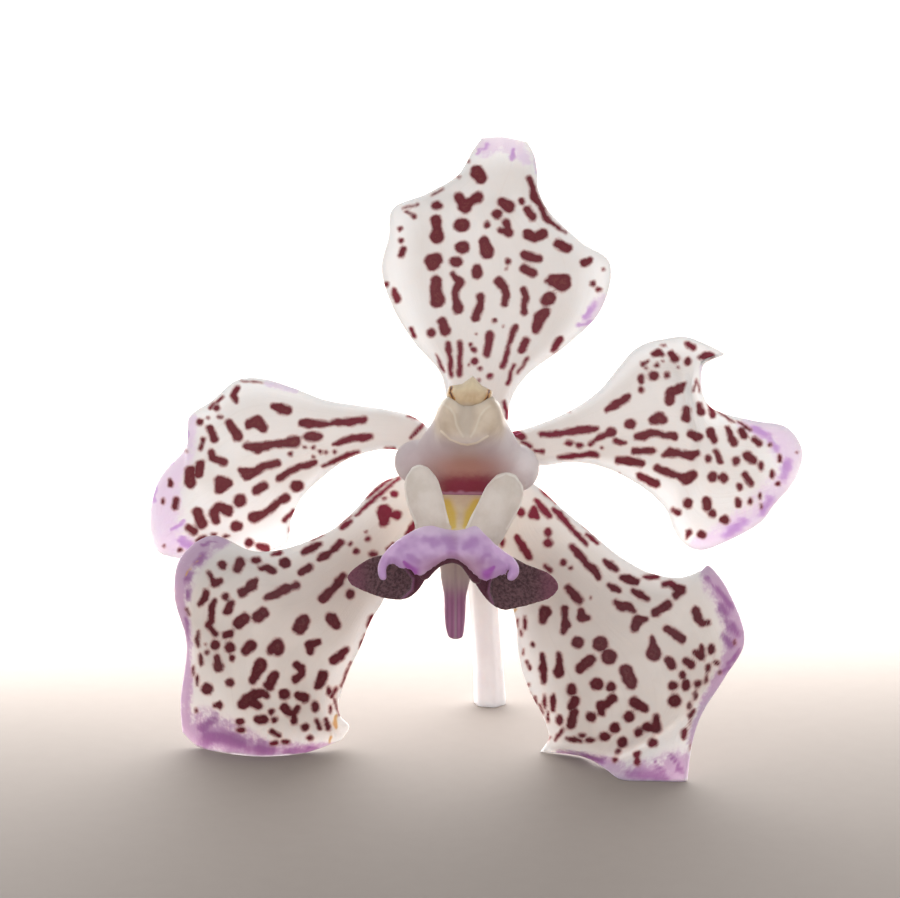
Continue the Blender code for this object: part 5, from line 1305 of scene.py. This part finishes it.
def column_material():
    """White flesh, beige round the cap, that darkens through rose to maroon under the end, with painted
    shade there as well.
    """
    r = Recipe("column_flesh")
    soft = r.noise(0.0025, 3.0)
    body = r.mottle(soft, (0.82, 0.75, 0.755), (0.71, 0.62, 0.635))
    beige = r.mottle(soft, (0.76, 0.64, 0.51), (0.64, 0.52, 0.40), 0.4, 0.65)
    body = r.mix(r.number("beige"), body, beige)
    body = r.tint(body, "channel", (0.60, 0.51, 0.42), 0.8)
    body = r.tint(body, "ridge", (0.92, 0.86, 0.74), 0.28, 0.1)
    # Painted shade: a lilac grey laid under the end of the column, where shade falls between the ears and
    # the lobes.
    body = r.tint(body, "dusk", (0.55, 0.43, 0.45), 0.8)
    body = r.tint(body, "rosy", (0.50, 0.25, 0.22), 0.92)
    blur = r.math("ADD", r.number("maroon"), r.step(r.noise(0.0006, 3.0), 0.3, 0.7, -0.05, 0.05))
    body = r.mix(r.step(blur, 0.0, 1.0), body, (0.27, 0.032, 0.080))
    body = r.tint(body, "hem", (0.55, 0.30, 0.48), 0.8)
    body = r.tint(body, "rim", (0.96, 0.85, 0.70), 0.75, 0.1, 0.9)
    r.flesh(body, 0.0010, 0.45, 0.36, 0.4)
    r.bump(r.noise(0.00025, 3.0), 0.00006)
    return r.material


def cap_material():
    """Waxy beige, lighter at the top, with a dark mark in each notch."""
    r = Recipe("cap_flesh")
    body = r.mottle(r.noise(0.0012, 3.0), (0.75, 0.58, 0.38), (0.62, 0.45, 0.27), high=0.65)
    body = r.tint(body, "high", (0.88, 0.76, 0.55), 0.55, 0.2)
    body = r.tint(body, "low", (0.64, 0.53, 0.42), 0.8)
    mark = r.math("ADD", r.number("mark"), r.step(r.noise(0.0003, 2.0), 0.3, 0.7, -0.15, 0.15))
    body = r.mix(r.step(mark, 0.1, 0.6, 0.0, 0.85), body, (0.62, 0.28, 0.06))
    body = r.mix(r.step(mark, 0.6, 0.95), body, (0.11, 0.03, 0.012))
    r.flesh(body, 0.0008, 0.4, 0.38, 0.4)
    r.bump(r.noise(0.0003, 3.0), 0.00005)
    return r.material


def lip_material():
    """Cream and yellow inside, white lobes, a striped spur, a violet tip and velvety wings, with painted
    light on the lobes' rims, the tip's upper edge and the wings' hairs, and painted shade on the tip.
    """
    r = Recipe("lip_flesh")
    soft = r.noise(0.0018, 3.0)
    fine = r.noise(0.0003, 3.0, 0.6)
    cream = r.mottle(soft, (0.97, 0.83, 0.58), (0.89, 0.74, 0.52))
    body = r.tint(cream, "yellow", (0.93, 0.71, 0.17), 1.0, 0.1, 0.9)
    lobe = r.mottle(soft, (0.80, 0.725, 0.665), (0.72, 0.64, 0.57))
    # Painted light: the rims of the side lobes are painted lighter, for the light through their edges.
    lobe = r.tint(lobe, "lip_rim", (0.95, 0.90, 0.84), 0.7, 0.1)
    body = r.tint(body, "lobe", lobe, 1.0, 0.3, 0.7)

    spur = r.tint((0.64, 0.51, 0.49), "down", (0.43, 0.175, 0.325), 1.0, 0.0, 0.9)
    stripes = r.math("SINE", r.math("MULTIPLY", r.number("side"), 13.0))
    stripes = r.math("MULTIPLY", r.step(stripes, -0.8, 0.9, 0.0, 0.36), r.number("down"))
    spur = r.mix(stripes, spur, (0.17, 0.06, 0.12))
    line = r.step(r.math("ABSOLUTE", r.number("side")), 0.05, 0.2, 0.5, 0.0)
    spur = r.mix(line, spur, (0.50, 0.36, 0.41))
    body = r.tint(body, "spur", spur, 1.0, 0.3, 0.7)

    tip = r.mottle(r.noise(0.0022, 2.0), (0.73, 0.51, 0.76), (0.55, 0.33, 0.60), high=0.65)
    # Painted shade in the middle valley of the tip.
    tip = r.tint(tip, "valley", (0.46, 0.24, 0.46), 0.5)
    tip = r.tint(tip, "blotch", (0.46, 0.24, 0.52), 0.75, 0.05)
    # Partly the tip's dark flesh, partly painted shade: the lower part of the tip, over its underside, is
    # painted darker.
    tip = r.tint(tip, "arch", (0.36, 0.17, 0.25), 0.85)
    # Painted highlight: the upper edge of the tip, with its bumps, is painted paler.
    tip = r.tint(tip, "edge", (0.88, 0.76, 0.88), 0.5, 0.1)
    tip = r.tint(tip, "violet", (0.38, 0.10, 0.42), 0.95, 0.1)
    body = r.tint(body, "tip", tip, 1.0, 0.35, 0.65)

    dark = r.mottle(fine, (0.062, 0.022, 0.030), (0.165, 0.080, 0.090), high=0.65)
    wing = r.mix(r.number("face"), (0.13, 0.035, 0.06), dark)
    wing = r.tint(wing, "reach", (0.25, 0.075, 0.125), 0.6)
    wing = r.tint(wing, "fold", (0.34, 0.15, 0.28), 0.45, 0.3)
    # The hairs at the wings' outer edges, painted lighter where the surface is seen edge on: real hairs with
    # a painted sheen.
    lit_hairs = r.math("MULTIPLY", r.number("fringe"), r.step(r.noise(0.00018, 2.0), 0.35, 0.6, 0.3, 1.0))
    wing = r.mix(r.step(lit_hairs, 0.15, 0.9, 0.0, 0.5), wing, (0.52, 0.30, 0.42))
    body = r.tint(body, "wing", wing, 1.0, 0.35, 0.65)
    r.flesh(body, 0.0008, 0.35, 0.5, 0.3)
    r.set(Sheen_Weight=0.12, Sheen_Roughness=0.4)
    rough = r.step(r.number("wing"), 0.3, 0.7, 0.5, 1.8)
    r.bump(r.math("MULTIPLY", fine, rough), 0.00018, 0.7)
    return r.material


def pollen_material():
    """Yellow wax."""
    r = Recipe("pollen_wax")
    r.flesh(r.mix(r.noise(0.0004), (0.78, 0.55, 0.12), (0.85, 0.66, 0.22)), 0.0004, 0.3, 0.4, 0.4)
    return r.material


def pedicel_material():
    """Greenish white at the knob, and a rosy white below it."""
    r = Recipe("pedicel_flesh")
    pink = r.mottle(r.noise(0.003, 3.0), (0.88, 0.86, 0.86), (0.84, 0.81, 0.82))
    body = r.mix(r.number("down"), (0.68, 0.66, 0.57), pink)
    r.flesh(body, 0.0012, 0.5, 0.4, 0.35)
    r.bump(r.noise(0.0004, 3.0), 0.00006)
    return r.material


def floor_material():
    """A pale matt floor."""
    r = Recipe("pale_floor")
    grain = r.step(r.noise(0.002, 3.0), 0.3, 0.7, 0.0, 0.2)
    tone = r.mix(grain, (0.358, 0.313, 0.283), (0.331, 0.289, 0.260))
    r.set(Base_Color=tone, Roughness=0.8, Specular_IOR_Level=0.1)
    return r.material


# Stage

def add_floor():
    bm = bmesh.new()
    bmesh.ops.create_circle(bm, cap_ends=True, segments=96, radius=0.9)
    floor = link_mesh("floor", bm, floor_material())


def add_light(name, where, towards, width, height, power, turn=0.0):
    """A soft rectangular light, turned by so many degrees about the upright."""
    light = bpy.data.lights.new(name, "AREA")
    light.shape = "RECTANGLE"
    light.size = width
    light.size_y = height
    light.energy = power
    made = bpy.data.objects.new(name, light)
    bpy.context.scene.collection.objects.link(made)
    made.location = where
    made.rotation_euler = (Vector(towards) - Vector(where)).to_track_quat("-Z", "Y").to_euler()
    made.rotation_euler.z += math.radians(turn)
    made.visible_camera = False


def add_camera():
    """The camera looks square at the middle of the face."""
    camera = bpy.data.cameras.new("camera")
    camera.sensor_width = SENSOR_WIDTH
    camera.lens = SENSOR_WIDTH * LAYOUT_DISTANCE / VIEW_WIDTH
    camera.clip_start = 0.01
    made = bpy.data.objects.new("camera", camera)
    bpy.context.scene.collection.objects.link(made)
    turn = Matrix((RIGHT, UP, -BACK)).transposed().to_4x4()
    made.matrix_world = Matrix.Translation(FACE_MIDDLE - BACK * LAYOUT_DISTANCE) @ turn
    bpy.context.scene.camera = made


def add_world():
    """An even white, a little brighter at the back than in front."""
    world = bpy.data.worlds.new("studio")
    world.use_nodes = True
    tree = world.node_tree
    background = tree.nodes["Background"]
    background.inputs["Color"].default_value = (1.0, 1.0, 1.0, 1.0)
    place_of = tree.nodes.new("ShaderNodeTexCoord")
    split = tree.nodes.new("ShaderNodeSeparateXYZ")
    ramp = tree.nodes.new("ShaderNodeMapRange")
    tree.links.new(place_of.outputs["Generated"], split.inputs[0])
    tree.links.new(split.outputs["Y"], ramp.inputs["Value"])
    for socket, value in zip(("From Min", "From Max", "To Min", "To Max"), (-1.0, 1.0, 0.42, 0.6)):
        ramp.inputs[socket].default_value = value
    tree.links.new(ramp.outputs[0], background.inputs["Strength"])
    bpy.context.scene.world = world


add_camera()
add_world()
add_floor()
add_light("back_glow", (0.0, 0.44, 0.04), (0.0, 0.44, 0.0), width=1.4, height=0.80, power=21.0, turn=4.0)
add_light("back_wall", (0.0, 0.55, 0.16), (0.0, 0.0, 0.05), width=1.0, height=0.3, power=3.0)
add_light("front_fill", (0.0, -0.45, 0.16), (0.0, 0.0, 0.03), width=0.7, height=0.4, power=1.1)
bpy.context.scene.view_settings.view_transform = "Standard"

upper = [blade_material("upper_face", 1.0, UPPER), blade_material("upper_back", 0.8, BACKS)]
lower = [blade_material("lower_face", 1.0, LOWER), blade_material("lower_back", 0.8, BACKS)]
for blade_name, details in BLADES.items():
    add_blade(blade_name, *details, lower if "lateral" in blade_name else upper)
add_lip(lip_material())
add_column(column_material())
add_cap(cap_material())
add_pollinarium(pollen_material())
add_pedicel(pedicel_material())
